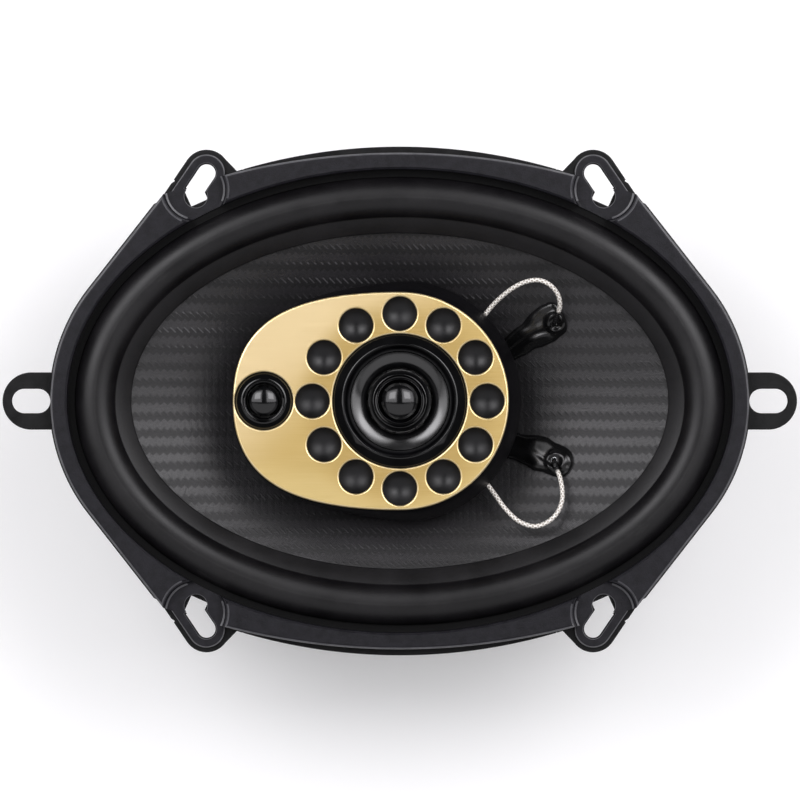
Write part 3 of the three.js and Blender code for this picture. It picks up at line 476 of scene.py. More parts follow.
def metalMaterial(name, base, roughness, stain=(0.3, 0.28, 0.24)):
    # plated metal: spangle and dull stains
    material = newMaterial(name, base, Metallic=1.0)
    vector = vectorOf(material)
    spangle = vector.node("ShaderNodeSeparateColor", {0: vector.cells(700.0, "Color")})
    cloud = vector.noise(90.0, 5.0, 0.7)
    color = (spangle * 0.16).mix(base, (0.9, 0.9, 0.88))
    color = cloud.ramp(0.52, 0.72, 0.0, 0.25).mix(color, stain)
    rough = cloud.ramp(0.35, 0.7, roughness * 0.8, roughness * 1.35) + spangle * 0.06
    return connect(material, color, cloud, 0.12, rough)


def clothMaterial():
    # resin-soaked cotton: a plain square weave under a blotchy varnish
    material = newMaterial("spiderCloth", (0.5, 0.32, 0.12))
    vector = vectorOf(material)
    warp, weft = [(part * 2200.0).zigzag() for part in vector.split()[:2]]
    weave = warp * weft * 4.0
    cloud = vector.noise(90.0, 4.0)
    color = weave.mix((0.16, 0.085, 0.02), (0.52, 0.33, 0.11))
    color = cloud.ramp(0.35, 0.7, 0.0, 0.4).mix(color, (0.3, 0.17, 0.05))
    return connect(material, color, weave, 0.6, cloud.ramp(0.3, 0.7, 0.62, 0.85), distance=0.0003)


def braidMaterial():
    # two sets of strands crossing at a slant round the lead, read from its own UV map,
    # and black where the lead is coated
    material = newMaterial("tinselBraid", (0.75, 0.71, 0.63))
    tree = material.node_tree
    layer = Wire(tree, nodeIn(tree, "ShaderNodeUVMap", uv_map="UVMap").outputs[0])
    u, v = layer.split()[:2]
    around, along = u * 4.0, v * 0.9
    weave = (around + along).zigzag().math("MAXIMUM", (around - along).zigzag()) * 2.0
    coated = layer.node("ShaderNodeAttribute", out="Fac", attribute_name="coated")
    color = weave.ramp(0.4, 0.85).mix((0.4, 0.36, 0.31), (0.95, 0.92, 0.87))
    color = coated.mix(color, (0.006, 0.006, 0.0065))
    rough = weave.ramp(0.2, 1.0, 0.6, 0.34) - coated * 0.18
    return connect(material, color, weave, 0.8, rough, coated * -0.25 + 0.25)


def windingMaterial():
    # turns of copper wire, one above the other
    material = newMaterial("copperTurns", (0.72, 0.34, 0.16), Metallic=1.0, Roughness=0.3)
    wireTurn = (vectorOf(material).split()[2] * 3300.0).zigzag()
    color = wireTurn.ramp(0.0, 0.3).mix((0.25, 0.09, 0.04), (0.78, 0.38, 0.18))
    return connect(material, color, wireTurn, 0.7)


# skins: dark and light colour, specular level, colour and amount of the lighter edges (partly wear, partly
# painted highlight), scale of the grain and of the mottling, range of roughness, strength of the bump
lacquer = (0.0012, 0.0012, 0.0015)
finishes = {
    "trim": skinMaterial("satinTrim", (0.0035, 0.0033, 0.0052), (0.0092, 0.0087, 0.0122), 0.235,
                         (0.08, 0.08, 0.085), 0.0, 2300, 420, (0.42, 0.54), 0.34),
    # painted highlight: a paler skin for the trim's sloping edge faces
    "trimEdge": skinMaterial("trimEdgeHighlight", (0.055, 0.055, 0.061), (0.09, 0.09, 0.098), 0.5,
                             (0.2, 0.2, 0.2), 0.3, 1500, 200, (0.28, 0.36), 0.03),
    "steel": skinMaterial("powderedSteel", (0.0018, 0.0018, 0.002), (0.005, 0.005, 0.0055), 0.2,
                          (0.06, 0.06, 0.06), 0.06, 1700, 260, (0.32, 0.5), 0.3),
    "rubber": skinMaterial("butylRubber", (0.0035, 0.0032, 0.0038), (0.007, 0.0064, 0.0074), 0.34,
                           (0.02, 0.02, 0.02), 0.3, 1500, 60, (0.34, 0.46), 0.1),
    # painted shade: a darker rubber for the surround's landing, which lies in the trim ring's shade
    "landing": skinMaterial("shadedLanding", (0.0012, 0.0012, 0.0013), (0.0025, 0.0024, 0.0026), 0.1,
                            (0.01, 0.01, 0.01), 0.3, 1500, 60, (0.5, 0.7), 0.06),
    "ferrite": skinMaterial("ferrite", (0.03, 0.03, 0.032), (0.06, 0.06, 0.064), 0.5,
                            (0.2, 0.2, 0.2), 0.7, 900, 90, (0.55, 0.8), 0.5),
    "board": skinMaterial("phenolicBoard", (0.16, 0.075, 0.03), (0.27, 0.15, 0.07), 0.5,
                          (0.45, 0.3, 0.17), 0.6, 1400, 200, (0.5, 0.7), 0.3),
    "pod": skinMaterial("satinPod", (0.0018, 0.0016, 0.0022), (0.0038, 0.0034, 0.0046), 0.15,
                        (0.03, 0.03, 0.034), 0.0, 2200, 130, (0.36, 0.5), 0.1),
    "cone": weaveMaterial(),
    "gold": goldMaterial(),
    "goldEdge": metalMaterial("polishedGoldEdge", (0.88, 0.7, 0.36), 0.4, (0.6, 0.45, 0.2)),
    "gloss": glossMaterial("glossBlack", lacquer, 0.07, 0.55),
    "domeGloss": glossMaterial("lacqueredDome", lacquer, 0.13, 0.62),
    "softGloss": glossMaterial("lacqueredCone", lacquer, 0.2, 1.0),
    "dimple": glossMaterial("satinDimple", (0.0025, 0.0025, 0.0032), 0.37, 0.34),
    "tar": glossMaterial("dampingCompound", (0.002, 0.002, 0.0022), 0.19, 0.45),
    "sleeve": glossMaterial("capacitorSleeve", (0.02, 0.05, 0.2), 0.3),
    "zinc": metalMaterial("zincPlate", (0.42, 0.43, 0.43), 0.34),
    "blackZinc": metalMaterial("blackZincPlate", (0.012, 0.012, 0.013), 0.5, (0.03, 0.028, 0.025)),
    "foil": metalMaterial("formerFoil", (0.62, 0.5, 0.34), 0.35),
    "solder": metalMaterial("solder", (0.75, 0.76, 0.78), 0.18, (0.2, 0.15, 0.1)),
    "cloth": clothMaterial(),
    "braid": braidMaterial(),
    "copper": windingMaterial(),
}
print("materials made:", len(finishes))


# heights in the speaker's stack, and the half axes of the trim ring's opening
stack = {"floor": 25.5, "flange": 62.0, "flangeTop": 63.2, "trimTop": 68.4, "rim": 62.6, "neck": 39.7,
         "podBottom": 58.5, "podTop": 70.0}
oval = {"a": 95.5, "b": 66.5}


def ovalAt(inset):
    inset = np.asarray(inset, float)
    return oval["a"] - inset, oval["b"] - inset


def insetProfile(points):
    # profile of (inset from the opening, z) as half axes and height
    inset, z = np.asarray(points, float).T
    return np.stack([*ovalAt(inset), z], -1)


# frame: trim ring, steel flange and basket

frameShape = {"halfLength": 100.3, "halfWidth": 71.3, "endRadius": 52.0, "crownRadius": 200.0,
              "flare": math.radians(38), "flangeProud": 0.6, "flangeWidth": 73.2, "flangeCrown": 160.0}
earShape = {"x": 55.6, "y": 65.52, "axis": math.radians(-56), "slot": 2.6, "travel": 6.8, "length": 8.6,
            "square": 5.2, "squareShift": 0.9, "squareTurn": math.radians(-24), "steelRadius": 6.8,
            "steelReach": 11.6, "trimRadius": 5.4, "trimReach": 13.5, "recess": 9.0, "recessPlace": 5.8,
            "padTop": 64.8, "keyhole": 3.3, "keyPlace": (7.2, 1.2)}
earAxis = np.array([math.cos(earShape["axis"]), math.sin(earShape["axis"])])
earSide = np.array([earAxis[1], -earAxis[0]])
earPlace = np.array([earShape["x"], earShape["y"]])
corners = np.array([(1, 1), (-1, 1), (-1, -1), (1, -1)])


def frameOutline(halfLength, halfWidth, endRadius, crownRadius):
    # quarter outline: end arc, straight flare tangent to it, crowned side; then mirrored twice
    flare = frameShape["flare"]
    endX, crownY = halfLength - endRadius, halfWidth - crownRadius
    start = np.array([endX + endRadius * math.cos(flare), endRadius * math.sin(flare)])
    along = np.array([-math.sin(flare), math.cos(flare)])
    toCrown = start - (0, crownY)
    half = along @ toCrown
    corner = start + along * (math.sqrt(half ** 2 - toCrown @ toCrown + crownRadius ** 2) - half)
    crown = math.atan2(corner[1] - crownY, corner[0])
    quarter = np.concatenate([arcPoints(endX, 0, endRadius, 0, flare, 24),
                              start + (corner - start) * np.linspace(0.02, 0.98, 24)[:, None],
                              arcPoints(0, crownY, crownRadius, crown, halfTurn / 2, 60)])
    upper = np.concatenate([quarter, quarter[::-1][1:] * (-1, 1)])
    return np.concatenate([upper, upper[::-1][1:-1] * (1, -1)])


def earPoint(along, across=0.0):
    return earPlace + earAxis * along + earSide * across


def earCapsule(radius, length, reach=None):
    # half circle round the ear's place, with straight sides running inwards
    turn = np.linspace(halfTurn / 2, 1.5 * halfTurn, 24)
    arc = earPlace + np.outer(radius * np.cos(turn), earAxis) + np.outer(radius * np.sin(turn), earSide)
    return np.concatenate([arc, [earPoint(reach or length, -radius), earPoint(length, radius)]])


def inCorners(name, outline, levels):
    # the same prism in each corner; mirrored outlines are reversed so that they keep their sense
    made = []
    for sign in corners:
        points = np.asarray(outline) * sign
        edge = np.roll(points, -1, 0) - points
        area = np.sum(points[:, 0] * edge[:, 1] - points[:, 1] * edge[:, 0])
        made.append(prism(name, points if area > 0 else points[::-1], levels))
    return made


def buildTrimRing():
    top, base, pad = stack["trimTop"], stack["flangeTop"], earShape["padTop"]
    sizes = ("halfLength", "halfWidth", "endRadius", "crownRadius")
    outline = frameOutline(*[frameShape[size] for size in sizes])
    ring = prism("trim_ring", outline, [(base, -0.2), (base + 0.2, 0), (top - 0.75, 0), (top - 0.42, -0.08),
                                        (top - 0.18, -0.28), (top - 0.06, -0.55), (top, -0.95)])
    opening = [(0, base - 1), (0, top - 0.9), (0.12, top - 0.4), (0.7, top), (1.9, top + 1)]
    hole, rebate = [loft("hole", [levelAt(ovalPoints(*ovalAt(-grow)), z) for grow, z in levels])
                    for levels in (opening, [(1.8, base - 1), (1.8, base + 1.1)])]
    carve(ring, "DIFFERENCE", hole, rebate)
    # each ear is a low pad: its round recess has a soft double step at the rim
    r = earShape["recess"]
    bowl = [(0, pad), (r - 0.9, pad), (r - 0.35, pad + 0.25), (r - 0.1, pad + 1.0), (r, top - 0.75),
            (r + 0.1, top - 0.5), (r + 0.45, top - 0.42), (r + 0.6, top - 0.2), (r + 0.95, top),
            (r + 1.6, top + 1), (0, top + 1)]
    carve(ring, "DIFFERENCE", *[revolve("recess", bowl, centre=earPoint(earShape["recessPlace"]) * sign,
                                        closed=False) for sign in corners])
    rounding = [(base, -0.1), (base + 0.1, 0), (pad - 0.52, 0), (pad - 0.28, -0.07), (pad - 0.12, -0.22),
                (pad - 0.05, -0.4), (pad - 0.02, -0.7)]
    tab = earCapsule(earShape["trimRadius"], earShape["length"], earShape["trimReach"])
    carve(ring, "UNION", *inCorners("tab", tab, rounding))
    slots = inCorners("slot", earCapsule(earShape["slot"] + 0.3, earShape["keyPlace"][0]),
                      [(base - 1, 0), (pad - 0.2, 0), (pad + 0.5, 0.7)])
    r = earShape["keyhole"]
    key = [(0, base - 1), (r, base - 1), (r, pad - 0.2), (r + 0.2, pad), (r + 0.6, pad + 0.4), (0, pad + 0.4)]
    keys = [revolve("key", key, 48, centre=earPoint(*earShape["keyPlace"]) * sign, closed=False)
            for sign in corners]
    carve(ring, "DIFFERENCE", *slots, *keys)
    placed(ring, "frame", "trim")
    # the sloping faces of the outer edges and recess rims get a paler skin: a painted highlight
    tilt, centre = faceTilts(ring.data)
    outside = np.hypot(centre[:, 0] / (oval["a"] + 1.2), centre[:, 1] / (oval["b"] + 1.2)) > 1
    markFaces(ring, "trimEdge", (tilt > 15) & (tilt < 62) & (centre[:, 2] > pad - 0.35) & outside)


basketShape = {"legs": [0, 62, 118, 180, 242, 298, 360], "legHalf": 6.5, "ledge": 32.4, "gauge": 1.2,
               "tab": (106.05, 8.25), "slot": (108.05, 104.05, 3.5), "windowTop": 10.8, "windowFoot": 42,
               "windowCut": [(34.1, 0), (58, 0)], "windowSoft": 3.0, "rivetCircle": 26.5, "rivetHole": 2.1,
               "sideNotch": [(45.0, 66.6), (47.4, 66.6), (47.4, 75.0), (45.0, 75.0)],
               "flareNotch": [(64.7, 63.3), (65.9, 62.5), (68.2, 65.4), (67.0, 66.2)]}
rivetCircle = basketShape["rivetCircle"]
rivetPlaces = ovalPoints(rivetCircle, rivetCircle, halfTurn / 4, 2.25 * halfTurn, 4)


def windowEdge(a, b, start, end, count):
    # arc of an oval between two legs, starting and ending half a leg's width off their middle lines
    half = basketShape["legHalf"]
    first = start + math.asin(half / math.hypot(a * math.cos(start), b * math.sin(start)))
    last = end - math.asin(half / math.hypot(a * math.cos(end), b * math.sin(end)))
    return ovalPoints(a, b, first, last, count, True)


def buildBasket():
    low, top, shape = stack["flange"], stack["flangeTop"], basketShape
    proud = frameShape["flangeProud"]
    outline = frameOutline(frameShape["halfLength"] + proud, frameShape["flangeWidth"],
                           frameShape["endRadius"] + proud, frameShape["flangeCrown"])
    plate = prism("basket", outline, bevelled(low, top, 0.3, 2, 0.25))
    rounding = bevelled(low, top, 0.3, 3, 0.25)
    x, y, reach = *earPlace, earShape["steelRadius"]
    gusset = [(x - 0.7 * reach, y + 0.7 * reach), (x - 9, y + 0.4), (x, y - reach)]
    ear = earCapsule(reach, earShape["length"], earShape["steelReach"])
    carve(plate, "UNION", *inCorners("ear", ear, rounding), *inCorners("gusset", gusset, rounding))

    # end tabs, each with its slot
    tabX, tabRadius = shape["tab"]
    farX, nearX, slotRadius = shape["slot"]
    tip = arcPoints(tabX, 0, tabRadius, -halfTurn / 2, halfTurn / 2, 32)
    tab = np.concatenate([tip, [(oval["a"], tabRadius), (oval["a"], -tabRadius)]])
    slot = np.concatenate([arcPoints(farX, 0, slotRadius, -halfTurn / 2, halfTurn / 2, 20),
                           arcPoints(nearX, 0, slotRadius, halfTurn / 2, 1.5 * halfTurn, 20)])
    countersunk = [(low - 1, 1.3), (low + 0.15, 0), (top - 0.25, 0), (top + 1, 1.25)]
    for side in (1, -1):
        carve(plate, "UNION", prism("endTab", (tab * (side, 1))[::side], rounding))
        carve(plate, "DIFFERENCE", prism("endSlot", (slot * (side, 1))[::side], countersunk))

    through = [(low - 1, 0), (top + 1, 0)]
    turn = earShape["squareTurn"] + halfTurn / 4 + np.arange(4) * halfTurn / 2
    square = earPoint(earShape["travel"], earShape["squareShift"]) \
        + earShape["square"] / math.sqrt(2) * np.stack([np.cos(turn), np.sin(turn)], -1)
    cuts = {"slot": earCapsule(earShape["slot"], earShape["travel"]), "square": square,
            "sideNotch": shape["sideNotch"], "flareNotch": shape["flareNotch"]}
    middle = prism("middle", ovalPoints(*ovalAt(0.4), count=288), through)
    carve(plate, "DIFFERENCE", middle, *[cut for name, cutOutline in cuts.items()
                                         for cut in inCorners(name, cutOutline, through)])

    # bowl: profile from the floor over the spider's ledge and up the legs to an oval throat
    floor, ledge, gauge = stack["floor"], shape["ledge"], shape["gauge"]
    profile = [(19, 19, floor), (32.6, 32.6, floor), (34.4, 34.4, ledge), (39, 39, ledge),
               (*ovalAt(8.8), 52.4), (*ovalAt(4.6), 57.0), (*ovalAt(4.6), low), (*ovalAt(-0.2), low),
               (*ovalAt(-0.2), top), (*ovalAt(5.8), top), (*ovalAt(5.8), 57.4), (*ovalAt(9.8), 53.6),
               (38.4, 38.4, ledge + gauge), (33.2, 33.2, ledge + gauge),
               (31.4, 31.4, floor + gauge), (19, 19, floor + gauge)]
    radii = [0.3, 2.4, 1.6, 2.2, 3, 2.5, 0.8, 0.1, 0.2, 1.2, 2.5, 3, 2.2, 1.6, 2.4, 0.3]
    bowl = ovalRing("bowl", rounded(profile, radii, 5), 240)
    windows = []
    for start, end in zip(np.radians(shape["legs"][:-1]), np.radians(shape["legs"][1:])):
        upper = windowEdge(*ovalAt(shape["windowTop"]), start, end, 40)
        lower = windowEdge(shape["windowFoot"], shape["windowFoot"], start, end, 24)[::-1]
        soft = np.zeros(len(upper) + len(lower))
        soft[[0, len(upper) - 1, len(upper), -1]] = shape["windowSoft"]
        kept = rounded(np.concatenate([upper, lower]), soft, 6)
        kept = kept[np.linalg.norm(kept - np.roll(kept, 1, 0), axis=1) > 1e-4]
        windows.append(prism("window", kept, shape["windowCut"]))
    holes = [rod(shape["rivetHole"], floor - 1.5, floor + 2.5, 32, place) for place in rivetPlaces]
    carve(bowl, "DIFFERENCE", *windows, *holes)
    carve(plate, "UNION", bowl)
    placed(plate, "frame", "steel")


buildTrimRing()
buildBasket()
print("frame built")


# motor: yoke, ferrite ring and plate, the rivets that hold the basket, and the post that carries the pod

motorShape = {"magnetBottom": 5.5, "magnetTop": 20.5, "pole": 12.2, "bore": 4.3, "yokeRadius": 40,
              "magnetRadius": 42.5, "plateRadius": 39, "post": 4, "nut": 6.0, "nutBore": 3.7}


def buildMotor():
    shape, top = motorShape, stack["floor"]
    low, high, bore, post = shape["magnetBottom"], shape["magnetTop"], shape["bore"], shape["post"]
    rim, pole, outer, plate = shape["yokeRadius"], shape["pole"], shape["magnetRadius"], shape["plateRadius"]
    turned("t_yoke", "frame", "zinc", "zinc_steel",
           [(8, 0), (rim - 1, 0), (rim, 1), (rim, low), (pole, low), (pole, top - 1), (pole - 1, top),
            (bore, top), (bore, 3.4), (8, 3.4)], [0.4, 0.8, 0.5, 0.5, 0.6, 0.5, 0.4, 0.3, 0.2, 0.3], 160)
    turned("magnet", "frame", "ferrite", "ferrite",
           [(22, low + 0.05), (outer - 1.2, low + 0.05), (outer, low + 1.2), (outer, high - 1.2),
            (outer - 1.2, high - 0.05), (22, high - 0.05)], [0.2, 0.9, 0.9, 0.9, 0.9, 0.2], 160)
    turned("top_plate", "frame", "zinc", "zinc_steel",
           [(14, high), (plate, high), (plate, top), (14, top)], 0.5, 160,
           holes=[rod(basketShape["rivetHole"], 19, 27, 32, place) for place in rivetPlaces])
    head = [(0, 20.9), (1.8, 20.9), (1.8, 26.7), (3.4, 26.7), (3.3, 27.5), (1.9, 28.1), (1.2, 27.6),
            (0, 27.6)]
    for n, place in enumerate(rivetPlaces):
        turned(f"basket_rivet_{n + 1}", "frame", "zinc", "zinc_steel", head,
               [0, 0.3, 0.1, 0.2, 0.5, 0.4, 0.3, 0], 40, 3, solid=True, centre=place)
    turned("pod_post", "frame", "zinc", "zinc_steel",
           [(0, 0.8), (3.4, 0.8), (3.4, 3.4), (post, 3.4), (post, 53.5), (7, 56.5), (7, 58.5), (3, 58.5),
            (3, 59.8), (0, 59.8)], [0, 0.5, 0.1, 0.2, 1.5, 1, 0.3, 0.1, 0.3, 0], 64, solid=True)
    hexagon = ovalPoints(shape["nut"], shape["nut"], count=6)
    nut = prism("post_nut", rounded(hexagon, 0.3, 3), bevelled(0.4, 2.55, 0.25, 2))
    carve(nut, "DIFFERENCE", rod(shape["nutBore"], -1, 4, 48))
    placed(nut, "frame", "zinc")
    turned("post_washer", "frame", "zinc", "zinc_steel",
           [(shape["nutBore"], 2.62), (7.2, 2.62), (7.2, 3.38), (shape["nutBore"], 3.38)], 0.2, 64, 3)


buildMotor()
print("motor built")


# cone, surround, spider and coil

coneShape = {"neckRadius": 13.4, "rise": 20.9, "bow": 0.9, "bandInset": 18.2, "rimInset": 13.3, "paper": 0.8,
             "eyeHole": 1.9, "eyeCut": (45, 62), "eyes": {"upper": (44.9, 22.6), "lower": (44.9, -17.4)}}
surroundShape = {"start": 2.9, "width": 10.1, "height": 4.3, "rubber": 0.8, "landing": -1.45, "steps": 30}
spiderShape = {"inner": 13.15, "outer": 38.1, "z": 33.65, "climb": 2.6, "climbFrom": 34.5, "climbOver": 18,
               "wave": 0.55, "waveFrom": 16, "pitch": 4.6, "flat": (14.5, 34.2), "fade": 2, "cloth": 0.45}
coilShape = {"radius": 12.6, "foil": 0.4, "foilEnds": (16, 40.7), "wireEnds": (18, 28), "wire": 13.5}


def coneHeight(share):
    # z = neck + rise times share to the power of the bow
    return stack["neck"] + coneShape["rise"] * np.maximum(share, 0) ** coneShape["bow"]


def coneHeightAt(x, y):
    # share of the way from the neck to the band along the line through the axis
    a, b = ovalAt(coneShape["bandInset"])
    turn = np.arctan2(y, x)
    band = 1 / np.hypot(np.cos(turn) / a, np.sin(turn) / b)
    return coneHeight((np.hypot(x, y) - coneShape["neckRadius"]) / (band - coneShape["neckRadius"]))


def buildCone():
    # both half axes grow evenly from the neck to the band, then to the rim under the surround
    share = np.linspace(0, 1, 40)
    neck = coneShape["neckRadius"]
    axes = [neck + (axis - neck) * share for axis in ovalAt(coneShape["bandInset"])]
    rim = [(*ovalAt(coneShape["rimInset"]), stack["rim"])]
    front = np.concatenate([np.stack([*axes, coneHeight(share)], -1), rim])
    cone = ovalRing("cone", np.concatenate([front - (0, 0, coneShape["paper"]), front[::-1]]))
    low, high = coneShape["eyeCut"]
    holes = [rod(coneShape["eyeHole"], low, high, 32, eye) for eye in coneShape["eyes"].values()]
    carve(cone, "DIFFERENCE", *holes)
    placed(cone, "woofer_cone", "cone")


def rollPoint(turn, grow):
    # half roll: inset = middle - (half + grow) cos(turn), z = base + (height + grow) sin(turn)
    half = surroundShape["width"] / 2
    middle = surroundShape["start"] + half
    return np.stack([middle - (half + grow) * np.cos(turn),
                     stack["flangeTop"] + (surroundShape["height"] + grow) * np.sin(turn)], -1)


def buildSurround():
    # outer half: landing, a small valley and the rising roll; inner half: the falling roll and the band
    rubber, landing, start = surroundShape["rubber"], surroundShape["landing"], surroundShape["start"]
    base, lift, bandEnd = stack["flangeTop"], stack["rim"] + 0.3, coneShape["bandInset"]
    rising = np.linspace(0, halfTurn / 2, surroundShape["steps"])
    falling = rising + halfTurn / 2
    skin = base + rubber
    outerValley = rounded([(1.2, skin), (2.25, skin), (2.5, base + 2.2)], [0, 0.9, 0], 6)[6:12]
    outer = np.concatenate([[(landing, skin)], outerValley, rollPoint(rising, rubber)[5:],
                            rollPoint(rising, 0)[::-1][:-1], [(start, base), (landing, base)]])
    piece = ovalRing("surround_outer", insetProfile(outer), 320, smoothDegrees=50)
    placed(piece, "frame", "rubber", "surround")
    # painted shade: the landing faces beside the trim ring's wall get the darker, duller rubber
    markFaces(piece, "landing", faceTilts(piece.data)[1][:, 2] < base + 1.3)

    skin = lift + rubber
    innerValley = rounded([(12.95, base + 2.4), (13.2, skin + 0.05), (bandEnd, skin - 2)],
                          [0, 1.1, 0], 8)[8:17]
    inner = np.concatenate([rollPoint(falling, rubber)[:-5], innerValley,
                            [(bandEnd - 0.25, skin - 1.9), (bandEnd, skin - 2.23), (bandEnd, lift - 1.98)],
                            [(13.05, lift + 0.08)], rollPoint(falling, 0)[::-1][1:]])
    piece = ovalRing("surround_inner", insetProfile(inner), 320, smoothDegrees=50)
    placed(piece, "woofer_cone", "rubber", "surround", ((0, 0, 0.0682), (0, 0, 0.0637)))


def buildSpider():
    # corrugated disc dished towards the coil: z = base + climb^1.2 + a sine wave that fades at both rims
    shape = spiderShape
    r = np.linspace(shape["inner"], shape["outer"], 150)
    climb = shape["climb"] * np.clip((shape["climbFrom"] - r) / shape["climbOver"], 0, 1) ** 1.2
    near, far = shape["flat"]
    fade = np.clip((r - near) / shape["fade"], 0, 1) * np.clip((far - r) / shape["fade"], 0, 1)
    wave = shape["wave"] * np.sin((r - shape["waveFrom"]) * fullTurn / shape["pitch"]) * fade
    under = np.stack([r, shape["z"] + climb + wave], -1)
    disc = np.concatenate([under, under[::-1] + (0, shape["cloth"])])
    placed(revolve("spider", disc, 192, smoothDegrees=60), "woofer_cone", "cloth",
           split=((0, 0, 0.0342), (0, 0, 0.0362)))


def buildCoil():
    # winding: the outside swells by a tenth of a millimetre at each turn, three to the millimetre
    inner, low, high = coilShape["radius"], *coilShape["foilEnds"]
    outer = inner + coilShape["foil"]
    turned("voice_coil_former", "woofer_cone", "foil", "former_foil",
           [(inner, low), (outer, low), (outer, high), (inner, high)], 0.1, 128, 2)
    low, high = coilShape["wireEnds"]
    z = np.linspace(low, high, 121)
    wires = np.stack([coilShape["wire"] + 0.1 * np.abs(np.sin(z * halfTurn * 3)), z], -1)
    winding = np.concatenate([[(outer + 0.05, low)], wires, [(outer + 0.05, high)]])
    placed(revolve("voice_coil_winding", winding), "woofer_cone", "copper")


buildCone()
buildSurround()
buildSpider()
buildCoil()
print("cone assembly built")


# tweeter pod

podShape = {"faceRadius": 31.3, "faceReach": 47.9, "skirt": 3.4, "wall": 1.8, "dishRadius": 4.9,
            "dishCircle": 25.05, "dishDepth": 2.1, "dishes": 12, "sideX": -39.0, "ceiling": 3.6,
            "seat": (15.4, 17.2), "sideSeat": 6.9, "plateHoles": (19.3, 8.35), "plate": 1.2, "cover": 1.5,
            "post": 3.3, "leadHole": 2, "leadPlace": (19.1, 18.8)}


def eggOutline(grow=0.0, count=64):
    # half circle on the right, one Bezier curve on each side of the far end on the left
    r, reach = podShape["faceRadius"] + grow, podShape["faceReach"] + grow
    t = np.linspace(0, 1, count)[:, None]
    control = [np.array(p) for p in ((0, r), (-r * 1.07, r), (-reach, r * 0.69), (-reach, 0))]
    curve = sum(k * (1 - t) ** (3 - n) * t ** n * p for n, (k, p) in enumerate(zip((1, 3, 3, 1), control)))
    right = arcPoints(0, 0, r, -halfTurn / 2, halfTurn / 2, count * 2)
    return np.concatenate([right, curve[1:], curve[::-1][1:-1] * (1, -1)])


def drill(radius, segments=72, centre=(0, 0)):
    # cutter for the face plate, flaring over the plate's upper edge
    top = stack["podTop"]
    edge = [(0, -1), (0, 0.86), (0.08, 1.0), (0.22, 1.11), (0.46, 1.2), (0.52, 1.6)]
    flare = [(0, top - 1)] + [(radius + grow, top + z) for grow, z in edge] + [(0, top + 1.6)]
    return revolve("drill", flare, segments, centre=centre, closed=False)


def buildPod():
    bottom, top, shape = stack["podBottom"], stack["podTop"], podShape
    dishes = ovalPoints(shape["dishCircle"], shape["dishCircle"], count=shape["dishes"])
    outline = eggOutline(0.3)
    # skirt spreads towards the bottom, most on the side away from the small tweeter
    spread = shape["skirt"] * np.clip((outline[:, 0] + 34) / 40, 0, 1) ** 1.1
    skirt = [(11.5, 0.8), (11.42, 0.9), (11.2, 0.98), (10.6, 1), (8, 0.86), (5, 0.6), (2.5, 0.32), (0.9, 0.1),
             (0.45, 0), (0.2, -0.15), (0.06, -0.4), (0, -0.75)]
    layers = [levelAt(offsetOutline(outline, spread * max(share, 0) + min(share, 0)), top - depth)
              for depth, share in skirt]
    housing = loft("pod_housing", layers)
    ceiling = top - shape["ceiling"]
    inside = prism("inside", eggOutline(-shape["wall"]), [(bottom - 1, 0), (ceiling, 0)])
    small, large = shape["seat"]
    centreHole = revolve("hole", [(0, ceiling - 1), (small, ceiling - 1), (small, ceiling + 0.6),
                                  (large, ceiling + 0.6), (large, top + 1), (0, top + 1)], closed=False)
    sideHole = rod(shape["sideSeat"], ceiling - 1, top + 1, 64, (shape["sideX"], 0))
    carve(housing, "DIFFERENCE", inside, centreHole, sideHole)
    # dimples: bowls with z = top - depth (1 - t^2) at the share t of their radius
    t = np.linspace(0, 1, 14)
    bowl = np.stack([shape["dishRadius"] * t, top - shape["dishDepth"] * (1 - t ** 2)], -1)
    bowl = np.concatenate([bowl, [(shape["dishRadius"], top + 0.5), (0, top + 0.5)]])
    carve(housing, "DIFFERENCE", *[revolve("dish", bowl, 56, centre=place, closed=False) for place in dishes])
    placed(housing, "frame", "pod")
    centre = faceTilts(housing.data)[1]
    nearest = np.min(np.linalg.norm(centre[:, None, :2] - dishes[None], axis=2), axis=1)
    inBowl = (centre[:, 2] > top - shape["dishDepth"] - 0.2) & (centre[:, 2] < top - 0.005)
    markFaces(housing, "dimple", (nearest < shape["dishRadius"]) & inBowl)

    edge = [(0, -0.05), (0.05, 0), (0.72, 0), (0.9, -0.07), (1.06, -0.2), (1.15, -0.38),
            (shape["plate"], -0.58)]
    plate = prism("face_plate", eggOutline(0, 96), [(top + z, grow) for z, grow in edge])
    midHole, sideHole = shape["plateHoles"]
    drills = [drill(midHole, 160), drill(sideHole, centre=(shape["sideX"], 0))]
    carve(plate, "DIFFERENCE", *drills, *[drill(shape["dishRadius"], 64, place) for place in dishes])
    placed(plate, "frame", "gold")
    tilt = faceTilts(plate.data)[0]
    markFaces(plate, "goldEdge", (tilt > 4) & (tilt < 176))

    cover = prism("pod_back_cover", eggOutline(-shape["wall"] - 0.3),
                  bevelled(bottom, bottom + shape["cover"], 0.25, 2))
    x, y = shape["leadPlace"]
    bores = [rod(r, 57, 61, 32, place) for r, place in ((shape["post"], (0, 0)), (shape["leadHole"], (x, y)),
                                                        (shape["leadHole"], (x, -y)))]
    carve(cover, "DIFFERENCE", *bores)
    placed(cover, "frame", "pod")


driverShape = {"midWidth": (15.9, 19), "midNeck": 9.75, "midFlare": 4.35, "midSplit": (0.0671, 0.0682),
               "centreDome": (4.6, 65.8, 68.95, 1.4), "sideDome": (4.1, 62.2, 69.85, 1.25), "wall": 0.3,
               "domeTilt": math.radians(34)}


